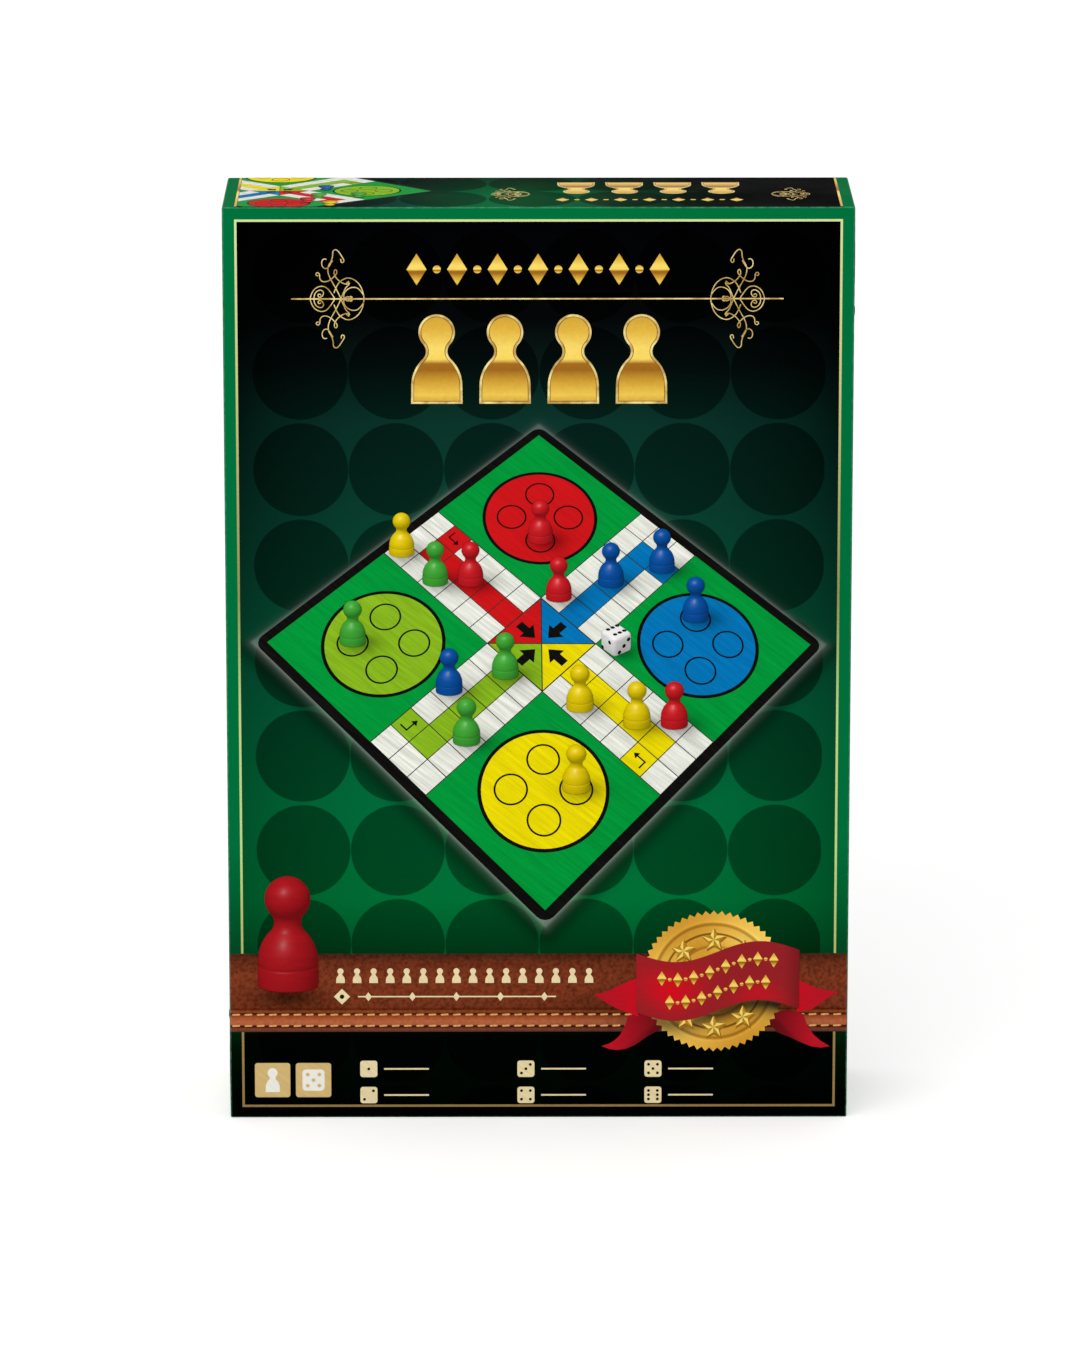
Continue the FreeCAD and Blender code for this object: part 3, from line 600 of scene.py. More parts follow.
# Pictures of the pawns and the die on the board.
# Turned wooden pawns as they stand on the board, each one with light on its head and shade at its
# foot, and one white die with black pips.

pawn_paints = {
    "red": colour(212, 28, 36), "green": colour(68, 174, 56), "blue": colour(4, 84, 168),
    "yellow": colour(238, 210, 4),
}
pawn_tall, pawn_wide, pawn_base = 33.5, 19.0, 6.8
pawn_half = [(9.0, 0.0), (9.4, 0.2), (9.5, 0.6), (9.5, 5.7), (9.4, 6.1), (9.2, 6.4)]
pawn_half += arc((-4.448, pawn_base), 13.848, 0, 46, 14) + arc((7.95, 19.639), 4.0, 226, 138, 10)[1:]
pawn_half += arc((0.0, 26.8), 6.7, -42, 88, 20)[1:]
picture_low, picture_thick = 0.22, 0.12


def shade_picture(mesh, paint, sheen):
    """Paints a pictured solid with the light and shade of its round form."""
    tint = mesh.verts.layers.float_color.new("tint")
    light = Vector((-0.30, 0.62, 0.72)).normalized()
    gleam = (light + Vector((0, 0, 1))).normalized()
    mesh.normal_update()
    for vert in mesh.verts:
        lit = max(0.0, vert.normal.dot(light))
        level = (0.42 + 0.62 * lit) * (0.82 + 0.18 * max(0.0, vert.normal.z))
        mirrored = max(0.0, vert.normal.dot(gleam))
        shine = sheen * (0.5 * mirrored ** 30 + mirrored ** 200)
        vert[tint] = (*[min(1.0, c * level + shine) for c in paint[:3]], 1.0)


def press_flat(mesh, low):
    """Presses a pictured solid flat, from that height over the panel."""
    deep = [v.co.z for v in mesh.verts]
    least, most = min(deep), max(deep)
    for vert in mesh.verts:
        vert.co.z = low + picture_thick * (vert.co.z - least) / (most - least)


def add_to(whole, part):
    """Joins one print to another."""
    carrier = bpy.data.meshes.new("carrier")
    part.to_mesh(carrier)
    part.free()
    whole.from_mesh(carrier)
    bpy.data.meshes.remove(carrier)


def pawn_picture(paint, foot, wide, low, steps, lean=22.0, sheen=0.14, slim=1.0, head=0.0):
    """Picture of one pawn, seen a little from above, its neck and head larger by a share."""
    mesh = bmesh.new()
    half = [mesh.verts.new((0, 0, 0))]
    for radius, rise in pawn_half:
        swell = head * min(1.0, max(0.0, (rise - pawn_base) / 12))
        half.append(mesh.verts.new((radius * (1 + swell), rise, 0)))
    half.append(mesh.verts.new((0, pawn_tall, 0)))
    edges = [mesh.edges.new(pair) for pair in zip(half, half[1:])]
    bmesh.ops.spin(mesh, geom=half + edges, axis=(0, 1, 0), angle=math.tau, steps=steps, use_merge=True)
    bmesh.ops.remove_doubles(mesh, verts=mesh.verts, dist=0.001)
    bmesh.ops.recalc_face_normals(mesh, faces=mesh.faces)
    bmesh.ops.rotate(mesh, verts=mesh.verts, matrix=Matrix.Rotation(math.radians(lean), 3, "X"))
    shade_picture(mesh, paint, sheen)
    size = wide / pawn_wide
    bmesh.ops.scale(mesh, verts=mesh.verts, vec=(size, slim * size, size))
    bmesh.ops.translate(mesh, verts=mesh.verts, vec=(*foot, 0))
    press_flat(mesh, low)
    for face in mesh.faces:
        face.smooth = True
    return mesh


def die_picture(centre, wide, low):
    """Picture of the die, one corner to the front, with its pips."""
    stand = Matrix.Rotation(math.radians(34), 3, "X") @ Matrix.Rotation(math.radians(38), 3, "Y")
    mesh = bmesh.new()
    bmesh.ops.create_cube(mesh, size=wide)
    edges = mesh.edges[:] + mesh.verts[:]
    bmesh.ops.bevel(
        mesh, geom=edges, offset=wide * 0.16, affect="EDGES", segments=3, profile=0.5, material=-1)
    bmesh.ops.rotate(mesh, verts=mesh.verts, matrix=stand)
    shade_picture(mesh, (1.0, 1.0, 0.98), 0.2)
    pips = bmesh.new()
    faces = ((-90, "X", ((-1, -1), (0, -1), (1, -1), (-1, 1), (0, 1), (1, 1))),
             (0, "X", ((-1, -1), (0, 0), (1, 1))), (-90, "Y", ((-1, -1), (1, 1))))
    for turn, axis, spots in faces:
        for a, b in spots:
            place = Matrix.Translation((a * wide * 0.25, b * wide * 0.25, wide * 0.56))
            place = Matrix.Rotation(math.radians(turn), 4, axis) @ place
            bmesh.ops.create_circle(pips, cap_ends=True, segments=16, radius=wide * 0.10, matrix=place)
    bmesh.ops.rotate(pips, verts=pips.verts, matrix=stand)
    shade_picture(pips, (0.012, 0.012, 0.014), 0.0)
    add_to(mesh, pips)
    bmesh.ops.translate(mesh, verts=mesh.verts, vec=(*centre, 0))
    press_flat(mesh, low)
    return mesh


def noted(tree, name):
    """What is noted at the points of a mesh under that name."""
    note = tree.nodes.new("ShaderNodeAttribute")
    note.attribute_name = name
    return note.outputs


def levels(tree, value, *stops):
    """Levels of light along a value from 0 to 1, the same for every colour."""
    return ramp(tree, value, *[(place, (level, level, level, 1.0)) for place, level in stops])


def shaded_finish(name, roughness, gloss, lines, dim, bright):
    """A finish that shows the tints noted on the mesh under fine lines of that size, detail and stretch."""
    finish, tree, surface = new_finish(name, roughness, gloss)
    drawn = grain(tree, *lines)
    tint = dimmed(tree, noted(tree, "tint")["Color"], levels(tree, drawn, (0.35, dim), (0.65, bright)))
    coat(tree, surface, tint, drawn, 0.01)
    return finish


shaded_print = shaded_finish("shaded_print", 0.6, 0.03, lines=(1.4, 3.0, (8, 8, 1)), dim=0.94, bright=1.03)
crowd = bmesh.new()
add_to(crowd, die_picture((die_stand[0], die_stand[1] + 5.0), wide=9.8, low=picture_low))
for order, (paint, a, b, wide) in enumerate(stands):
    add_to(crowd, pawn_picture(pawn_paints[paint], (a, b), wide, picture_low + 0.01 * order, steps=22))
lay_print("front_pawn_pictures", crowd, lid_front, "lid", shaded_print)


# Gilding on the lid's front.
# A row of four gilt pawns with bevelled edges, a row of lozenges and beads over it, and a hairline
# between two penned flourishes, all in gold that runs from pale to bronze.

def motif_place(tree):
    """How far across and up its motif a point is, from 0 to 1."""
    split = tree.nodes.new("ShaderNodeSeparateXYZ")
    feed(tree, split.inputs[0], noted(tree, "motif")["Vector"])
    return split.outputs


def mottled(name, roughness, gloss, size, dark, pale, spread=0.2, bumps=None):
    """A finish that drifts between two tones in patches of that size, with bumps of a size and depth."""
    finish, tree, surface = new_finish(name, roughness, gloss)
    tint = tones(tree, grain(tree, size), (0.5 - spread, *dark), (0.5 + spread, *pale))
    if bumps:
        coat(tree, surface, tint, grain(tree, bumps[0]), bumps[1])
    else:
        feed(tree, surface.inputs["Base Color"], tint)
    return finish


gilding, tree, surface = new_finish("gilding", 0.45, 0.10)
gold = tones(
    tree, motif_place(tree)[1],
    (0.0, 206, 158, 48), (0.10, 240, 200, 80), (0.24, 212, 162, 50), (0.38, 158, 100, 20),
    (0.45, 164, 106, 22), (0.50, 250, 216, 96), (0.62, 252, 220, 104), (0.82, 228, 182, 62),
    (1.0, 206, 160, 50),
)
brushed = levels(tree, grain(tree, 1.5, 3.0), (0.3, 0.95), (0.7, 1.03))
coat(tree, surface, dimmed(tree, gold, brushed), grain(tree, 0.6), 0.01)
gilt_patches = {"size": 5.0, "spread": 0.15, "bumps": (0.6, 0.01)}
gilt_rim = mottled("gilt_rim", 0.45, 0.10, dark=(186, 148, 78), pale=(248, 228, 150), **gilt_patches)
gilt_shade = mottled("gilt_shade", 0.5, 0.05, dark=(112, 72, 16), pale=(152, 102, 30), **gilt_patches)
gilt_finishes = (gilding, gilt_rim, gilt_shade)


def mark_motif(mesh):
    """Notes for each point how far across and up its motif it is, from 0 to 1."""
    spot = mesh.verts.layers.float_vector.new("motif")
    lows = [min(v.co[axis] for v in mesh.verts) for axis in (0, 1)]
    spans = [max(v.co[axis] for v in mesh.verts) - lows[axis] for axis in (0, 1)]
    for vert in mesh.verts:
        vert[spot] = ((vert.co.x - lows[0]) / spans[0], (vert.co.y - lows[1]) / spans[1], 0)
    return mesh


def pawn_outline(middle, foot, tall):
    """Outline of a pawn, that tall."""
    size = tall / pawn_tall
    half = [(pawn_wide / 2, 0.0), *[point for point in pawn_half if point[1] > pawn_base - 0.1]]
    right = [(middle + r * size, foot + h * size) for r, h in half]
    left = [(middle - r * size, foot + h * size) for r, h in reversed(half)]
    return right + left


def gilt_bar(whole, low_corner, high_corner, ink=0):
    """A straight gilt line."""
    mesh = bmesh.new()
    bar(mesh, low_corner, high_corner, 0.0, line_film, ink)
    add_to(whole, mark_motif(mesh))


def gilt_pawns(whole, first, pitch, foot, tall):
    """A row of four gilt pawns with bevelled edges."""
    for step in range(4):
        mesh = bmesh.new()
        tops = patch(mesh, pawn_outline(first + step * pitch, foot, tall), 0.0, 0.05)
        for inset, depth, ink in ((0.024, 0.08, 1), (0.008, -0.02, 2)):
            edge = bmesh.ops.inset_region(
                mesh, faces=tops, thickness=tall * inset, depth=depth, use_even_offset=True)
            for face in edge["faces"]:
                face.material_index = ink
        add_to(whole, mark_motif(mesh))


def lozenge(whole, middle, wide, tall, low=0.0):
    """A lozenge raised to a point."""
    mesh = bmesh.new()
    a, b = middle
    outline = ((a, b - tall / 2), (a + wide / 2, b), (a, b + tall / 2), (a - wide / 2, b))
    tip = bmesh.ops.poke(mesh, faces=patch(mesh, outline, low, low + 0.04))["verts"]
    bmesh.ops.translate(mesh, verts=tip, vec=(0, 0, 0.25))
    add_to(whole, mark_motif(mesh))


def bead(whole, middle, radius, low=0.0):
    """A round gilt bead."""
    mesh = bmesh.new()
    tops = disc(mesh, middle, radius, low, low + 0.04, 0, 20)
    bmesh.ops.inset_region(mesh, faces=tops, thickness=radius * 0.45, depth=0.1)
    add_to(whole, mark_motif(mesh))


def lozenge_row(whole, first, pitch, up, wide, tall, bead_radius=None):
    """A row of seven lozenges, with or without beads between them."""
    for step in range(7):
        lozenge(whole, (first + step * pitch, up), wide, tall)
        if step and bead_radius:
            bead(whole, (first + (step - 0.5) * pitch, up), bead_radius)


def flourish(whole, middle, tall, side):
    """A penned flourish of looped lines, the same above and below, its large loop to one side."""
    size = tall / 42
    strokes = (
        ((2.6, 17.1), (2.5, 15.8), (3.4, 15.4), (4.1, 16.4), (3.0, 18.2), (1.7, 20.3), (0.4, 21.3),
         (-0.8, 20.5), (-0.8, 18.6), (-1.3, 16.4), (-2.8, 14.1), (-3.0, 11.5), (-1.9, 8.5), (0.0, 5.3),
         (1.9, 1.6), (3.2, -1.6), (4.5, -4.8), (5.8, -5.9), (6.3, -6.8), (5.4, -7.4), (4.6, -6.3)),
        ((-3.5, 16.9), (-4.5, 17.3), (-5.5, 16.2), (-5.5, 14.3), (-4.5, 13.0), (-3.0, 13.0), (-1.9, 14.7),
         (-0.9, 16.4)),
        ((-6.9, 10.0), (-7.7, 9.8), (-8.1, 10.8), (-7.2, 11.4), (-6.3, 10.5), (-6.5, 8.8), (-5.4, 7.3),
         (-3.0, 7.4), (-0.9, 8.9), (1.1, 11.1), (0.6, 12.6), (-0.2, 12.3), (-0.4, 10.6), (0.9, 8.5),
         (3.0, 6.8), (5.2, 6.1), (6.2, 6.8), (5.6, 7.6)),
        ((0.0, 0.0), (-1.9, 3.2), (-4.3, 5.5), (-7.3, 5.3), (-9.9, 2.9), (-10.5, 0.0)),
        ((-5.8, 1.6), (-6.7, 2.3), (-7.3, 1.4), (-6.5, 0.5), (-5.2, 1.1), (-4.6, 2.9), (-6.0, 4.0),
         (-8.0, 3.1), (-8.9, 1.1), (-8.8, 0.0)),
        ((-0.4, 2.5), (0.6, 5.4), (2.4, 7.8), (5.8, 9.4), (9.7, 7.4), (12.0, 3.3), (12.3, 0.0)),
        ((12.3, 1.2), (10.5, 4.4), (7.5, 5.2), (4.7, 3.8), (3.4, 1.2), (4.7, -1.0), (6.9, -0.8), (7.5, 0.5),
         (6.6, 1.3), (5.7, 0.5)),
    )
    curve = bpy.data.curves.new("flourish", "CURVE")
    curve.dimensions = "3D"
    curve.bevel_depth = tall * 0.0054
    curve.bevel_resolution = 1
    curve.resolution_u = 6
    curve.use_fill_caps = True
    for stroke in strokes:
        for half in (1, -1):
            spline = curve.splines.new("NURBS")
            spline.points.add(len(stroke) - 1)
            for point, (a, b) in zip(spline.points, stroke):
                point.co = (middle[0] + side * a * size, middle[1] + half * b * size, 0, 1)
            spline.order_u = 3
            spline.use_endpoint_u = True
    holder = bpy.data.objects.new("flourish", curve)
    data = bpy.data.meshes.new_from_object(holder)
    mesh = bmesh.new()
    mesh.from_mesh(data)
    bpy.data.objects.remove(holder)
    bpy.data.curves.remove(curve)
    bpy.data.meshes.remove(data)
    press_flat(mesh, 0.0)
    for face in mesh.faces:
        face.material_index = 1
    add_to(whole, mark_motif(mesh))


hairline = ((29.0, 360.4), (237.0, 360.95))
gilt_work = bmesh.new()
gilt_pawns(gilt_work, first=90.4, pitch=28.9, foot=315.5, tall=38.5)
lozenge_row(gilt_work, first=82.0, pitch=17.1, up=373.3, wide=8.4, tall=13.5, bead_radius=1.7)
gilt_bar(gilt_work, *hairline, ink=1)
for middle, side in ((47.5, 1), (218.5, -1)):
    flourish(gilt_work, (middle, 360.7), tall=42.0, side=side)
lay_print("front_gilding", gilt_work, lid_front, "lid", *gilt_finishes)


# Large pawn pictured at the foot of the lid's front.
# The red wooden pawn of the game, near its real size, standing on the leather strip.

large_pawn = pawn_picture(
    colour(176, 22, 30), foot=(25.4, 59.3), wide=26.2, low=0.09, steps=96, lean=13.0, sheen=0.07, slim=1.085,
    head=0.07)
lay_print("front_large_pawn", large_pawn, lid_front, "lid", shaded_print)


# Gold seal with a red ribbon on the lid's front.
# A serrated disc in embossed gold with a ring of stars, crossed by a waved satin ribbon with
# forked tails, all printed. The ribbon has two gilt rows of lozenges and beads.

seal_middle, seal_radius, seal_film = (209.0, 61.3), 31.5, 0.16
teeth, tooth_deep = 112, 1.7
star_ring, star_drop = 19.6, 1.0
star_radius, star_shade_radius, star_waist = 5.1, 5.8, 0.46
sash_left, sash_long, sash_wide = 175.6, 70.4, 26.4
sash_up, sash_wave, sash_climb = 60.6, 4.3, 1.5
sash_low, ribbon_film = 0.26, 0.03
ribbon_middle, tail_start, tail_run = 209.5, 26.0, 25.0

seal_gold, tree, surface = new_finish("seal_gold", 0.4, 0.08)
motif = motif_place(tree)
left_to_right = calc(tree, "MULTIPLY_ADD", motif[0], 2.0, -1.0)
foot_to_top = calc(tree, "MULTIPLY_ADD", motif[1], 2.0, -1.0)
legs = [calc(tree, "POWER", leg, 2.0) for leg in (left_to_right, foot_to_top)]
reach = calc(tree, "SQRT", calc(tree, "ADD", *legs))
sweep = calc(tree, "ARCTAN2", foot_to_top, left_to_right)
band = calc(tree, "MULTIPLY_ADD", calc(tree, "SINE", calc(tree, "MULTIPLY_ADD", sweep, 2.0, 0.6)), 0.5, 0.5)
rays = tones(tree, band, (0.0, 214, 156, 48), (0.5, 240, 188, 74), (1.0, 252, 214, 100))
full, slope = (1.0, 1.0, 1.0, 1), (0.92, 0.9, 0.85, 1)
groove, deep_line = (0.62, 0.54, 0.4, 1), (0.30, 0.22, 0.10, 1)
rings = ramp(
    tree, reach,
    (0.0, (1.05, 1.05, 1.0, 1)), (0.47, full), (0.485, (0.55, 0.46, 0.3, 1)), (0.50, groove), (0.53, slope),
    (0.65, full), (0.665, deep_line), (0.68, deep_line), (0.695, full), (0.775, slope),
    (0.80, (0.5, 0.42, 0.28, 1)), (0.82, groove), (0.845, (1.12, 1.15, 1.25, 1)), (0.88, full),
    (0.95, (0.98, 0.96, 0.92, 1)), (1.0, (1.1, 1.12, 1.2, 1)),
)
x, y, z = millimetres(tree)
share = calc(tree, "DIVIDE", calc(tree, "ADD", x, front_wide / 2 - sash_left), sash_long)
wave = calc(tree, "SINE", calc(tree, "MULTIPLY", share, math.tau))
sash_foot = calc(tree, "MULTIPLY_ADD", share, sash_climb, 46.2)
sash_foot = calc(tree, "MULTIPLY_ADD", wave, -sash_wave, sash_foot)
depth = calc(tree, "MULTIPLY_ADD", within(tree, share, 0.3, 0.85), -0.20, -0.78)
shadow = calc(tree, "MULTIPLY_ADD", glow(tree, calc(tree, "SUBTRACT", sash_foot, z), 5.5), depth, 1.0)
leaf = dimmed(tree, dimmed(tree, rays, rings), shadow)
leaf = blend(tree, 0.15, leaf, grain(tree, 1.2, 3.0), "SOFT_LIGHT")
coat(tree, surface, leaf, grain(tree, 0.7), 0.02)
star_light = mottled("star_gold_light", 0.4, 0.08, size=2.0, dark=(240, 206, 92), pale=(253, 228, 124))
star_dark = mottled("star_gold_dark", 0.4, 0.08, size=2.0, dark=(170, 124, 22), pale=(190, 142, 36))
star_shadow = mottled("star_shadow", 0.5, 0.05, size=2.0, dark=(148, 96, 18), pale=(168, 112, 26))


def spiked(middle, points, outer, inner, first):
    """Outline of a star or a serrated disc, by its points and the degree of the first one."""
    outline = []
    for corner in range(2 * points):
        turn, far = math.radians(first + 180 * corner / points), inner if corner % 2 else outer
        outline.append((middle[0] + far * math.cos(turn), middle[1] + far * math.sin(turn)))
    return outline


seal = bmesh.new()
patch(seal, spiked(seal_middle, teeth // 2, seal_radius, seal_radius - tooth_deep, 0), 0.0, seal_film, 0)
mark_motif(seal)
for degree in (90, 132, 48, -90, -128, -50):
    turn = math.radians(degree)
    a = seal_middle[0] + star_ring * math.cos(turn)
    b = seal_middle[1] - star_drop + star_ring * math.sin(turn)
    outline = spiked((a + 0.4, b - 0.7), 5, star_shade_radius, star_shade_radius * star_waist, 90)
    patch(seal, outline, seal_film, seal_film + 0.01, 3)
    outline = spiked((a, b), 5, star_radius, star_radius * star_waist, 90)
    tips = bmesh.ops.poke(seal, faces=patch(seal, outline, seal_film + 0.01, seal_film + 0.02, 1))
    bmesh.ops.translate(seal, verts=tips["verts"], vec=(0, 0, 0.08))
    for face in tips["faces"]:
        out = face.calc_center_median() - Vector((a, b, 0))
        side = math.sin(math.atan2(out.y, out.x) * 5 - math.radians(90 * 5))
        face.material_index = 1 if side > 0 else 2
lay_print("front_seal", seal, lid_front, "lid", seal_gold, star_light, star_dark, star_shadow)


def shade_along(share, stops):
    """Colour at a share of the way along a row of stops."""
    for (start, first), (end, last) in zip(stops, stops[1:]):
        if share <= end:
            return [a + (b - a) * (share - start) / (end - start) for a, b in zip(first, last)]
    return stops[-1][1]


def on_sash(share, rise):
    """A point of the waved ribbon, by its share of the length and its rise over the middle."""
    up = sash_up + sash_wide * rise - sash_wave * math.sin(math.tau * share) + sash_climb * share
    return sash_left + sash_long * share, up


ribbon = bmesh.new()
ribbon_bright, ribbon_tip = colour(210, 8, 30), colour(184, 20, 36)
fold_dark, fold_light = colour(96, 12, 20), colour(196, 20, 38)
lower_tails = (
    ((186.5, 40.0), (187.0, 45.5), (178.0, 47.0), (172.0, 46.0), (171.4, 43.0), (170.2, 39.9), (168.6, 37.0),
     (166.4, 34.8), (163.8, 33.2), (160.6, 32.2), (164.0, 30.9), (167.5, 30.4), (171.3, 31.0), (175.0, 32.6),
     (181.0, 36.8)),
    ((232.5, 43.5), (234.0, 47.0), (242.0, 48.5), (248.0, 46.5), (248.9, 43.4), (250.2, 40.4), (252.4, 37.2),
     (255.6, 34.4), (259.4, 32.0), (255.6, 31.4), (251.4, 32.0), (246.6, 33.9), (242.0, 36.2),
     (236.5, 38.4)),
)
upper_tails = (
    ((176.5, 45.4), (176.5, 62.6), (173.4, 61.6), (170.0, 60.2), (166.8, 58.6), (163.4, 57.0), (157.2, 55.2),
     (160.6, 53.2), (163.4, 51.2), (166.5, 49.4)),
    ((245.0, 47.4), (245.0, 62.6), (247.4, 61.0), (250.0, 59.7), (253.0, 58.4), (256.4, 57.5), (263.0, 56.4),
     (259.4, 54.4), (256.4, 52.2), (251.5, 48.6)),
)
for tails, near, far, low in ((lower_tails, fold_dark, fold_light, 0.09),
                              (upper_tails, ribbon_bright, ribbon_tip, 0.12)):
    for outline in tails:
        tail = bmesh.new()
        patch(tail, outline, low, low + ribbon_film)
        tint = tail.verts.layers.float_color.new("tint")
        for vert in tail.verts:
            share = min(1.0, max(0.0, (abs(vert.co.x - ribbon_middle) - tail_start) / tail_run))
            vert[tint] = shade_along(share, ((0.0, near), (0.2, near), (0.7, far), (1.0, ribbon_tip)))
        add_to(ribbon, tail)
sash = bmesh.new()
bmesh.ops.create_grid(sash, x_segments=48, y_segments=8, size=0.5)
tint = sash.verts.layers.float_color.new("tint")
wine, scarlet = colour(150, 32, 38), colour(216, 10, 30)
for vert in sash.verts:
    share, rise = vert.co.x + 0.5, vert.co.y
    vert.co = (*on_sash(share, rise), sash_low)
    left_glow = math.exp(-((share - 0.21) / 0.19) ** 2 - (rise / 0.33) ** 2)
    right_glow = 0.65 * math.exp(-((share - 0.75) / 0.15) ** 2 - ((rise + 0.38) / 0.16) ** 2)
    lit = min(1.0, left_glow + right_glow)
    level = 1.0 - 0.35 * max(0.0, share - 0.9) / 0.1
    vert[tint] = (*[level * (w + (s - w) * lit) for w, s in zip(wine[:3], scarlet[:3])], 1.0)
raise_faces(sash, sash.faces[:], ribbon_film)
add_to(ribbon, sash)
satin = shaded_finish("ribbon_satin", 0.45, 0.03, lines=(0.5, 2.0, (10, 1, 1)), dim=0.96, bright=1.02)
lay_print("front_ribbon", ribbon, lid_front, "lid", satin)

sash_gilt = bmesh.new()
motif_pitch, motif_low = 0.098, sash_low + ribbon_film
for rise, count in ((0.20, 8), (-0.19, 7)):
    for step in range(count):
        share = 0.5 + (step - (count - 1) / 2) * motif_pitch
        lozenge(sash_gilt, on_sash(share, rise), 4.0, 6.6, motif_low)
        if step:
            bead(sash_gilt, on_sash(share - motif_pitch / 2, rise), 0.8, motif_low)
for vert in sash_gilt.verts:
    vert.co.z = min(vert.co.z, 0.38)
lay_print("front_ribbon_gilding", sash_gilt, lid_front, "lid", *gilt_finishes)


# Small signs at the foot of the lid's front.
# Sixteen little pawns and a board on the strip, two tan plates with a pawn and a die, and six cream
# dice with lines in the black field, printed as flat signs for what is in the box.

sign_film, plate_film, pip_film = 0.05, 0.04, 0.03
row_first, row_pitch, row_foot, row_tall = 48.0, 7.15, 60.6, 6.6
plan_spot, rule_up = (48.6, 54.5), 54.5
plate_lefts, plate_foot, plate_top, plate_wide = (10.7, 28.4), 9.3, 24.7, 15.3
die_columns, die_rows, die_wide = (60.0, 128.0, 183.0), (22.0, 10.2), 7.4
cream_ink = new_ink("cream_ink", (238, 220, 172), 0.06)
plate_tan = new_ink("plate_tan", (216, 186, 122), 0.05)
sign_white = new_ink("sign_white", (244, 242, 232), 0.03)
sign_dark = new_ink("sign_dark", (24, 20, 14), 0.2)
pip_places = {
    1: ((0, 0),), 2: ((-1, -1), (1, 1)), 3: ((-1, -1), (0, 0), (1, 1)),
    4: ((-1, -1), (-1, 1), (1, -1), (1, 1)), 5: ((-1, -1), (-1, 1), (1, -1), (1, 1), (0, 0)),
    6: ((-1, -1), (-1, 0), (-1, 1), (1, -1), (1, 0), (1, 1)),
}


def die_sign(mesh, middle, wide, count, low, face_ink, pip_ink):
    """A flat die with that many pips."""
    a, b = middle
    half, top = wide / 2, low + plate_film
    patch(mesh, rounded((a - half, b - half), (a + half, b + half), wide * 0.16), low, top, face_ink)
    for across, up in pip_places[count]:
        spot = (a + across * wide * 0.26, b + up * wide * 0.26)
        disc(mesh, spot, wide * 0.085, top, top + pip_film, pip_ink, 14)


def sign_lozenge(mesh, middle, half_wide, half_tall, high):
    """A small flat lozenge."""
    a, b = middle
    patch(mesh, ((a, b - half_tall), (a + half_wide, b), (a, b + half_tall), (a - half_wide, b)), 0.0, high)


signs = bmesh.new()
for place in range(16):
    patch(signs, pawn_outline(row_first + place * row_pitch, row_foot, row_tall), 0.0, sign_film)
sign_lozenge(signs, plan_spot, half_wide=3.5, half_tall=3.5, high=sign_film)
disc(signs, plan_spot, 1.0, sign_film, sign_film + pip_film, 3, 16)
bar(signs, (55.5, rule_up - 0.3), (141.0, rule_up + 0.3), 0.0, sign_film)
for place in range(5):
    sign_lozenge(signs, (60.0 + place * 19.0, rule_up), half_wide=1.5, half_tall=2.0, high=0.06)
for left in plate_lefts:
    patch(signs, rounded((left, plate_foot), (left + plate_wide, plate_top), 1.2), 0.0, plate_film, 1)
patch(signs, pawn_outline(18.35, 11.6, 10.8), plate_film, plate_film + sign_film, 2)
die_sign(signs, (36.05, 17.0), 9.6, 5, plate_film, 2, 1)
for column, a in enumerate(die_columns):
    for row, b in enumerate(die_rows):
        die_sign(signs, (a, b), die_wide, 2 * column + row + 1, 0.0, 0, 3)
        bar(signs, (a + 6.6, b - 0.35), (a + 26.0, b + 0.35), 0.0, sign_film)
lay_print("front_signs", signs, lid_front, "lid", cream_ink, plate_tan, sign_white, sign_dark)


# Prints on the lid's walls.
# Each wall repeats the front in small: a gilt line at both ends, two penned flourishes, the row of
# gilt pawns under its lozenges, and part of the board's picture cut off by the wall's edges.

wall_inks = board_inks("wall_")
wall_scale, wall_picture = 0.55, (91.0, 34.0)
wall_pawns = (
    ("yellow", (0.6, 8)), ("red", (3, 8)), ("green", (4, 6)), ("blue", (6.3, 3.2)), ("green", (2.2, 3.8)),
)


def trim(mesh, low_corner, high_corner):
    """Cuts off what passes the edges of a panel."""
    for corner, way in ((low_corner, -1), (high_corner, 1)):
        for out in ((way, 0, 0), (0, way, 0)):
            whole = mesh.verts[:] + mesh.edges[:] + mesh.faces[:]
            bmesh.ops.bisect_plane(mesh, geom=whole, plane_co=(*corner, 0.0), plane_no=out, clear_outer=True)
            bmesh.ops.holes_fill(mesh, edges=[e for e in mesh.edges if e.is_boundary])
    return mesh


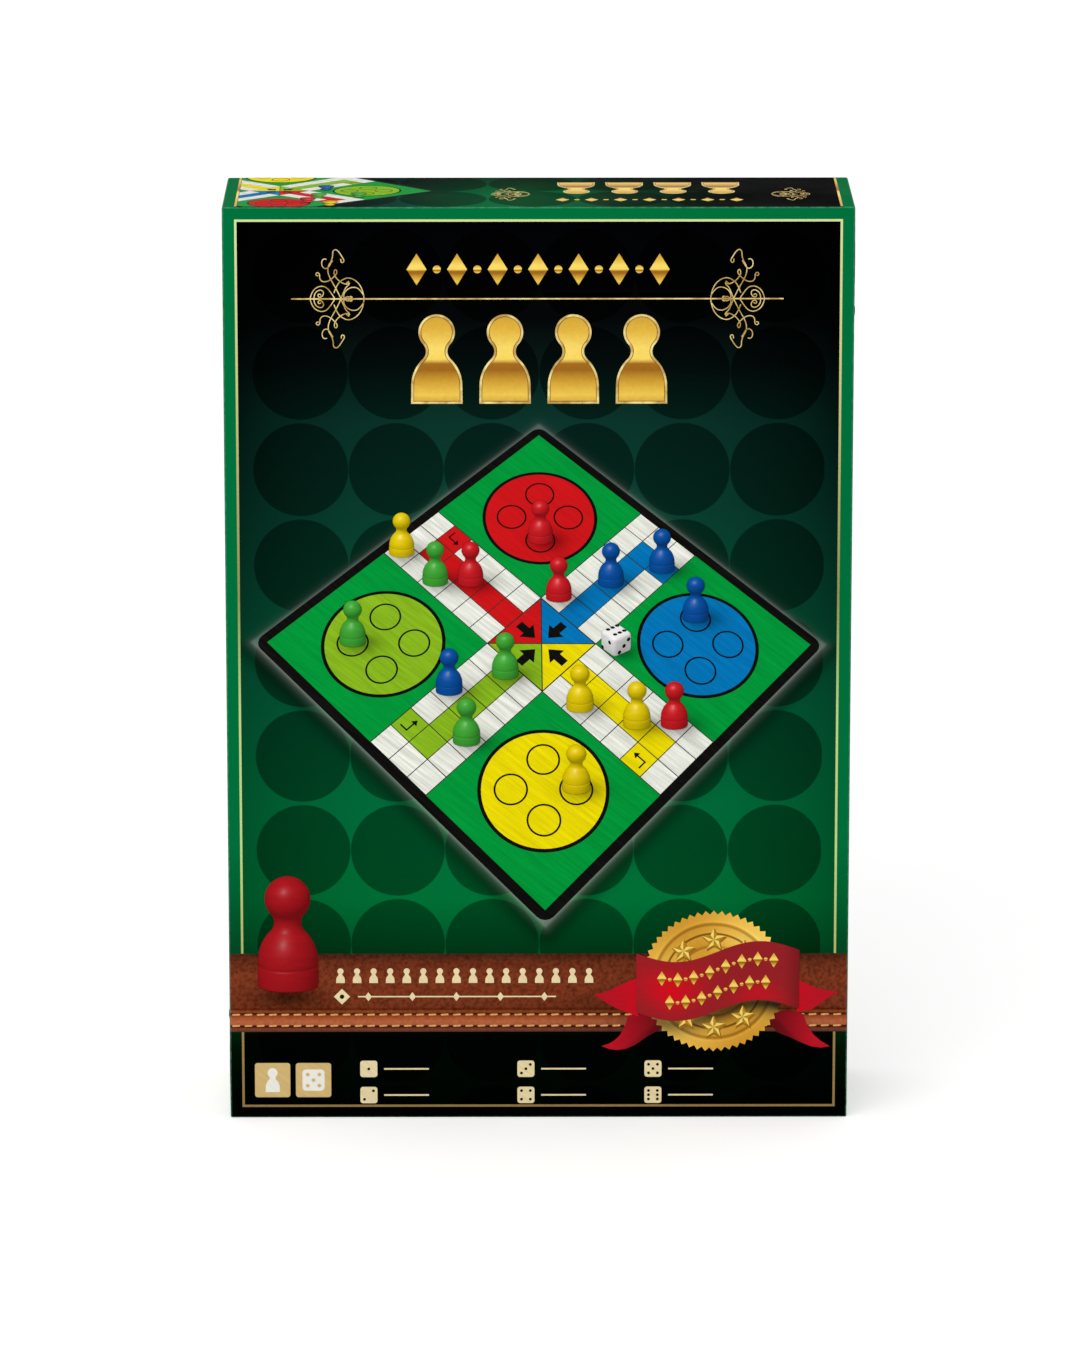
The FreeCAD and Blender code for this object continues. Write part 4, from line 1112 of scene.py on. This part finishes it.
def lay_wall_prints(name, place, length):
    """Lays the prints of one wall; lengths run from the wall's left end."""
    gilt = bmesh.new()
    for left in (line_left, length - line_left - line_wide):
        gilt_bar(gilt, (left, 0.4), (left + line_wide, wall_deep - 1.2))
    row = 48.0 + (length - front_wide) * 0.2
    for middle, side in ((row - 22.5, 1), (row + 98.0, -1)):
        flourish(gilt, (middle, 42.0), tall=30.0, side=side)
    gilt_pawns(gilt, first=row + 7.4, pitch=20.6, foot=12.5, tall=28.5)
    lozenge_row(gilt, first=row + 1.5, pitch=12.3, up=55.5, wide=5.6, tall=8.6, bead_radius=1.2)
    lay_print(name + "_gilding", gilt, place, "lid", *gilt_finishes)
    left, up = length - wall_picture[0], wall_picture[1]
    first_a, first_b = picture_corners[0]
    show = seen_from_front(
        [(left + (a - first_a) * wall_scale, up + (b - first_b) * wall_scale) for a, b in picture_corners])
    low_corner, high_corner = (0.0, 0.3), (length - 6.4, wall_deep - 1.0)
    picture = trim(board_picture(show), low_corner, high_corner)
    lay_print(name + "_board_picture", picture, place, "lid", *wall_inks)
    crowd = bmesh.new()
    for order, (paint, square) in enumerate(wall_pawns):
        foot = show(*on_square(*square))
        picture_up = picture_low + 0.01 * order
        add_to(crowd, pawn_picture(pawn_paints[paint], foot, wide=6.6, low=picture_up, steps=16))
    lay_print(name + "_pawn_pictures", trim(crowd, low_corner, high_corner), place, "lid", shaded_print)


half_wide = front_wide / 2
lay_wall_prints("top_wall", panel((half_wide, lid_rim, front_tall), (-1, 0, 0), (0, -1, 0)), front_wide)
lay_wall_prints("left_wall", panel((-half_wide, lid_rim, front_tall), (0, 0, -1), (0, -1, 0)), front_tall)
lay_wall_prints("right_wall", panel((half_wide, lid_rim, 0.0), (0, 0, 1), (0, -1, 0)), front_tall)


# Printed paper wrap of the base.
# The same paper as on the lid, glued over the base's board. Its walls hide inside the lid, and its
# panel is the back of the box: the green border, the gilt line and the circles on a dark ground.

back_wide, back_tall = 261.6, 394.6
dice_first, dice_pitch, dice_up, dice_wide = 47.0, 33.5, 44.0, 18.0
rank_first, rank_pitch, rank_foot, rank_tall = 40.0, 12.1, 78.0, 17.0
base_wrap, tree, surface = new_finish("printed_wrap_base", 0.75, 0.02)
x, y, z = millimetres(tree)
off_centre = calc(tree, "ABSOLUTE", x)
to_side = calc(tree, "SUBTRACT", back_wide / 2, off_centre)
off_middle = calc(tree, "ABSOLUTE", calc(tree, "SUBTRACT", z, front_tall / 2))
to_edge = calc(tree, "MINIMUM", to_side, calc(tree, "SUBTRACT", back_tall / 2, off_middle))
to_back = calc(tree, "SUBTRACT", half_deep, y)
ground = tones(
    tree, calc(tree, "DIVIDE", z, front_tall),
    (0.0, 0, 6, 3), (0.2, 0, 62, 32), (0.45, 2, 100, 58), (0.7, 8, 62, 46), (0.92, 3, 8, 8),
)
circles = circle_grid(tree, x, z, first=(20.25, 78.0), pitch=circle_pitch, radius=circle_radius)
circles = calc(tree, "MULTIPLY", circles, calc(tree, "LESS_THAN", off_centre, circles_end))
back_print = circled_ground(tree, ground, circles)
back_print = blend(tree, calc(tree, "LESS_THAN", to_edge, border_wide), back_print, green_border)
back_print = blend(tree, calc(tree, "LESS_THAN", to_back, to_edge), green_border, back_print)
# Along the folds the paper turns pale in patches: partly wear, and partly a painted highlight where the
# edges would catch the light.
on_fold = within(tree, calc(tree, "MAXIMUM", to_back, to_edge), 0.75, 0.1)
rubbed_wear_and_edge_highlight = calc(tree, "MULTIPLY", on_fold, grain(tree, 2.5, 3.0))
handled(tree, surface, grain(tree, 40.0, 3.0), -0.6, 1.4)
coat(tree, surface, blend(tree, rubbed_wear_and_edge_highlight, back_print, colour(150, 196, 172)), grain(tree, 0.7), 0.012)
dress(base_wrap, "base_wrap")


def frame_sides(low_corner, high_corner, wide):
    """The four bars of a frame, each by its lower left and upper right corner."""
    (a, b), (c, d) = low_corner, high_corner
    posts = [((left, b), (left + wide, d)) for left in (a, c - wide)]
    return posts + [((a + wide, foot), (c - wide, foot + wide)) for foot in (b, d - wide)]


def set_down(mesh, scale, corner):
    """Brings a flat print to that scale, with its lower left corner at a place on the panel."""
    bmesh.ops.scale(mesh, verts=mesh.verts, vec=(scale, scale, 1.0))
    bmesh.ops.translate(mesh, verts=mesh.verts, vec=(*corner, 0.0))
    return mesh


back_panel = panel((back_wide / 2, half_deep, 2.7), (-1, 0, 0), (0, 0, 1))
back_gilt = bmesh.new()
for corners in frame_sides((line_left, 5.2), (back_wide - line_left, back_tall - 5.2), line_wide):
    gilt_bar(back_gilt, *corners)
gilt_pawns(back_gilt, first=95.2, pitch=23.7, foot=322.0, tall=30.0)
for middle, side in ((46.0, 1), (215.6, -1)):
    flourish(back_gilt, (middle, 338.0), tall=42.0, side=side)
lozenge_row(back_gilt, first=79.5, pitch=17.1, up=366.0, wide=7.4, tall=11.5)
lay_print("back_gilding", back_gilt, back_panel, "base", *gilt_finishes)
back_board = set_down(board_print(picture_film, True), 0.56, (46.8, 132.0))
lay_print("back_board_picture", back_board, back_panel, "base", *wall_inks)
back_signs = bmesh.new()
for step in range(6):
    die_sign(back_signs, (dice_first + step * dice_pitch, dice_up), dice_wide, step + 1, 0.0, 0, 1)
for step in range(16):
    outline = pawn_outline(rank_first + step * rank_pitch, rank_foot, rank_tall)
    patch(back_signs, outline, 0.0, sign_film, 2 + step // 4)
row_inks = [wall_inks[k] for k in (4, 6, 5, 7)]
lay_print("back_signs", back_signs, back_panel, "base", cream_ink, sign_dark, *row_inks)


# Insert tray.
# Black polystyrene sheet, vacuum formed, with cups for the pawns, a well for the die and a recess
# for the board. It drops into the base, and its skin is satin with a fine pressed grain.

tray_black, tree, surface = new_finish("tray_plastic", 0.38, 0.45)
smears = grain(tree, 26.0, 3.0)
handled(tree, surface, smears, -0.9, 2.2)
coat(tree, surface, tones(tree, smears, (0.3, 24, 24, 26), (0.7, 34, 34, 36)), grain(tree, 0.35), 0.03)
dress(tray_black, "insert_tray")


# Playing board.
# Two leaves of solid board, covered in black linen paper that turns over the edge, with a printed
# sheet on the playing side. A cloth strip hinges them, and the print is cut along the fold.

sheet_film, sheet_plane, fold_gap = 0.02, -30.47, 0.9
fold_line = Vector((-0.075, -0.03065, 0.0))
linen, tree, surface = new_finish("board_linen", 0.8, 0.25)
warp, weft = grain(tree, 0.45, 1.0, (1, 1, 9)), grain(tree, 0.45, 1.0, (9, 1, 1))
weave = calc(tree, "MAXIMUM", warp, weft)
coat(tree, surface, tones(tree, weave, (0.4, 10, 10, 11), (0.72, 38, 38, 40)), weave, 0.08)
dress(linen, "right_leaf_cover", "left_leaf_cover", "fold_strip")
dress(grey_board, "right_leaf_core", "left_leaf_core")
sheet_inks = board_inks("sheet_")
dress(sheet_inks[1], "right_leaf_face", "left_leaf_face")

open_board = panel((-225.0, sheet_plane, 50.0))
half_turn = Matrix.Rotation(math.pi, 4, "Z")
folded = Matrix.Translation(fold_line) @ half_turn @ Matrix.Translation(-fold_line) @ open_board
fold = board_side / 2
for leaf, body, place, left, right in (
    ("right_leaf_print", "board", open_board, fold + fold_gap, board_side),
    ("left_leaf_print", "board_flap", folded, 0.0, fold - fold_gap),
):
    leaf_print = trim(board_print(sheet_film, False), (left, 0.0), (right, board_side))
    lay_print(leaf, leaf_print, place, body, *sheet_inks, slot="board_print")


# Rules leaflet.
# One sheet of thin white paper folded once, with a frame, a plan of the board and lines in grey.

leaflet_film = 0.02
grey_lines, grey_pitch, grey_foot, grey_thick = 15, 7.5, 30, 2
grey_left, grey_right, grey_short = 20, 128, 92
leaflet_paper, tree, surface = new_finish("leaflet_paper", 0.85, 0.2)
pulp = grain(tree, 1.2, 4.0)
coat(tree, surface, tones(tree, pulp, (0.3, 232, 230, 222), (0.7, 244, 243, 238)), pulp, 0.02)
dress(leaflet_paper, "rules_leaflet")
leaflet_ink = new_ink("leaflet_ink", (92, 94, 96), 0.15)
plan_green = new_ink("leaflet_green", (30, 120, 70), 0.1)
leaflet_face = panel((-74.0, -26.7, 51.0))
rules = bmesh.new()
for corners in frame_sides((8, 8), (140, 290), 1):
    bar(rules, *corners, 0.0, leaflet_film, 1)
for step in range(grey_lines):
    foot, right = grey_foot + step * grey_pitch, grey_right if step % 5 else grey_short
    bar(rules, (grey_left, foot), (right, foot + grey_thick), 0.0, leaflet_film)
lay_print("leaflet_print", rules, leaflet_face, "leaflet", leaflet_ink, plan_green, slot="leaflet_paper")
plan = set_down(board_print(0.006, False), 0.34, (23.0, 160.0))
lay_print("leaflet_board_plan", plan, leaflet_face, "leaflet", *sheet_inks, slot="leaflet_paper")


# Pawns.
# Turned from beech in one piece, four in each colour, dipped in coloured lacquer. The turning lines
# and a little of the grain show through, and the lacquer is glossy.

for paint, lacquer in pawn_paints.items():
    lacquered, tree, surface = new_finish(paint + "_lacquered_wood", 0.32, 0.5)
    surface.inputs["Coat Weight"].default_value = 0.35
    surface.inputs["Coat Roughness"].default_value = 0.15
    beech = grain(tree, 2.2, 4.0, (1, 7, 1))
    deep = tuple(c * 0.62 for c in lacquer[:3]) + (1.0,)
    handled(tree, surface, beech, -0.25, 1.6)
    turning = grain(tree, 0.8, 2.0, (9, 1, 9))
    coat(tree, surface, ramp(tree, beech, (0.32, deep), (0.6, lacquer)), turning, 0.05)
    dress(lacquered, *[f"{paint}_pawn_{number}" for number in (1, 2, 3, 4)])


# Die.
# Moulded white plastic with rounded corners, and pips pressed in and filled with black paint.

die_half, pip_apart, pip_radius, pip_thick = 7.5, 4.1, 1.3, 0.25
die_white, tree, surface = new_finish("die_plastic", 0.3, 0.5)
scuffs = grain(tree, 3.0, 4.0)
handled(tree, surface, scuffs, -0.3, 1.7)
coat(tree, surface, tones(tree, scuffs, (0.3, 226, 224, 214), (0.7, 242, 241, 234)), scuffs, 0.02)
dress(die_white, "die")
pip_paint = mottled("pip_paint", 0.35, 0.5, 0.8, (10, 10, 12), (26, 26, 28), bumps=(0.5, 0.02))
die_pips = bmesh.new()
die_middle = Matrix.Translation((0.0, -17.7, 200.0))
face_turns = {1: (90, "X"), 6: (-90, "X"), 2: (-90, "Y"), 5: (90, "Y"), 3: (180, "X"), 4: (0, "X")}
for count, (degrees, axis) in face_turns.items():
    turned = die_middle @ Matrix.Rotation(math.radians(degrees), 4, axis)
    for a, b in pip_places[count]:
        place = turned @ Matrix.Translation((a * pip_apart, b * pip_apart, die_half))
        rim = bmesh.ops.create_circle(die_pips, cap_ends=True, segments=20, radius=pip_radius, matrix=place)
        faces = list({f for v in rim["verts"] for f in v.link_faces})
        raised = bmesh.ops.extrude_face_region(die_pips, geom=faces)["geom"]
        tops = [v for v in raised if isinstance(v, bmesh.types.BMVert)]
        bmesh.ops.translate(die_pips, vec=turned.to_3x3() @ Vector((0, 0, pip_thick)), verts=tops)
lay_print("die_pips", die_pips, Matrix.Scale(0.001, 4), "loose_die", pip_paint, slot="die_plastic")


# Floor, light and camera.
# A plain white floor and soft light from all round, with one large lamp in front and above.

floor_mesh = bmesh.new()
bmesh.ops.create_grid(floor_mesh, x_segments=2, y_segments=2, size=6.0)
floor_data = bpy.data.meshes.new("floor")
floor_mesh.to_mesh(floor_data)
floor_mesh.free()
floor = bpy.data.objects.new("floor", floor_data)
bpy.context.collection.objects.link(floor)


def seen_directly(tree):
    """1 for what the camera sees straight, mirrored or through something, 0 for the light itself."""
    rays = tree.nodes.new("ShaderNodeLightPath")
    seen = calc(tree, "ADD", rays.outputs["Is Camera Ray"], rays.outputs["Is Glossy Ray"])
    return calc(tree, "MINIMUM", calc(tree, "ADD", seen, rays.outputs["Is Transmission Ray"]), 1.0)


white_floor, tree, surface = new_finish("white_floor", 0.9, 0.0)
feed(tree, surface.inputs["Base Color"], levels(tree, grain(tree, 300.0), (0.2, 0.79), (0.8, 0.81)))
surface.inputs["Emission Color"].default_value = (1.0, 1.0, 1.0, 1.0)
feed(tree, surface.inputs["Emission Strength"], calc(tree, "MULTIPLY", seen_directly(tree), 0.40))
floor_data.materials.append(white_floor)

world = bpy.data.worlds.new("studio")
bpy.context.scene.world = world
world.use_nodes = True
tree = world.node_tree
sky = tree.nodes["Background"]
sky.inputs["Color"].default_value = (1.0, 1.0, 1.0, 1.0)
feed(tree, sky.inputs["Strength"], calc(tree, "MULTIPLY_ADD", seen_directly(tree), 0.25, 0.75))

lamp_data = bpy.data.lights.new("front_lamp", "AREA")
lamp_data.shape = "RECTANGLE"
lamp_data.size = 1.6
lamp_data.size_y = 1.2
lamp_data.energy = 16.0
lamp = bpy.data.objects.new("front_lamp", lamp_data)
lamp.location = (-0.7, -1.6, 1.5)
lamp.rotation_euler = (Vector((0.0, 0.0, 0.2)) - lamp.location).to_track_quat("-Z", "Y").to_euler()
bpy.context.collection.objects.link(lamp)

camera_data = bpy.data.cameras.new("camera")
camera_data.lens = 200.0
camera = bpy.data.objects.new("camera", camera_data)
camera.location = (-0.0130, -3.1553, 0.9452)
camera.rotation_euler = (math.radians(76.508), 0.0, math.radians(-0.25))
bpy.context.collection.objects.link(camera)
bpy.context.scene.camera = camera
bpy.context.scene.view_settings.view_transform = "Standard"
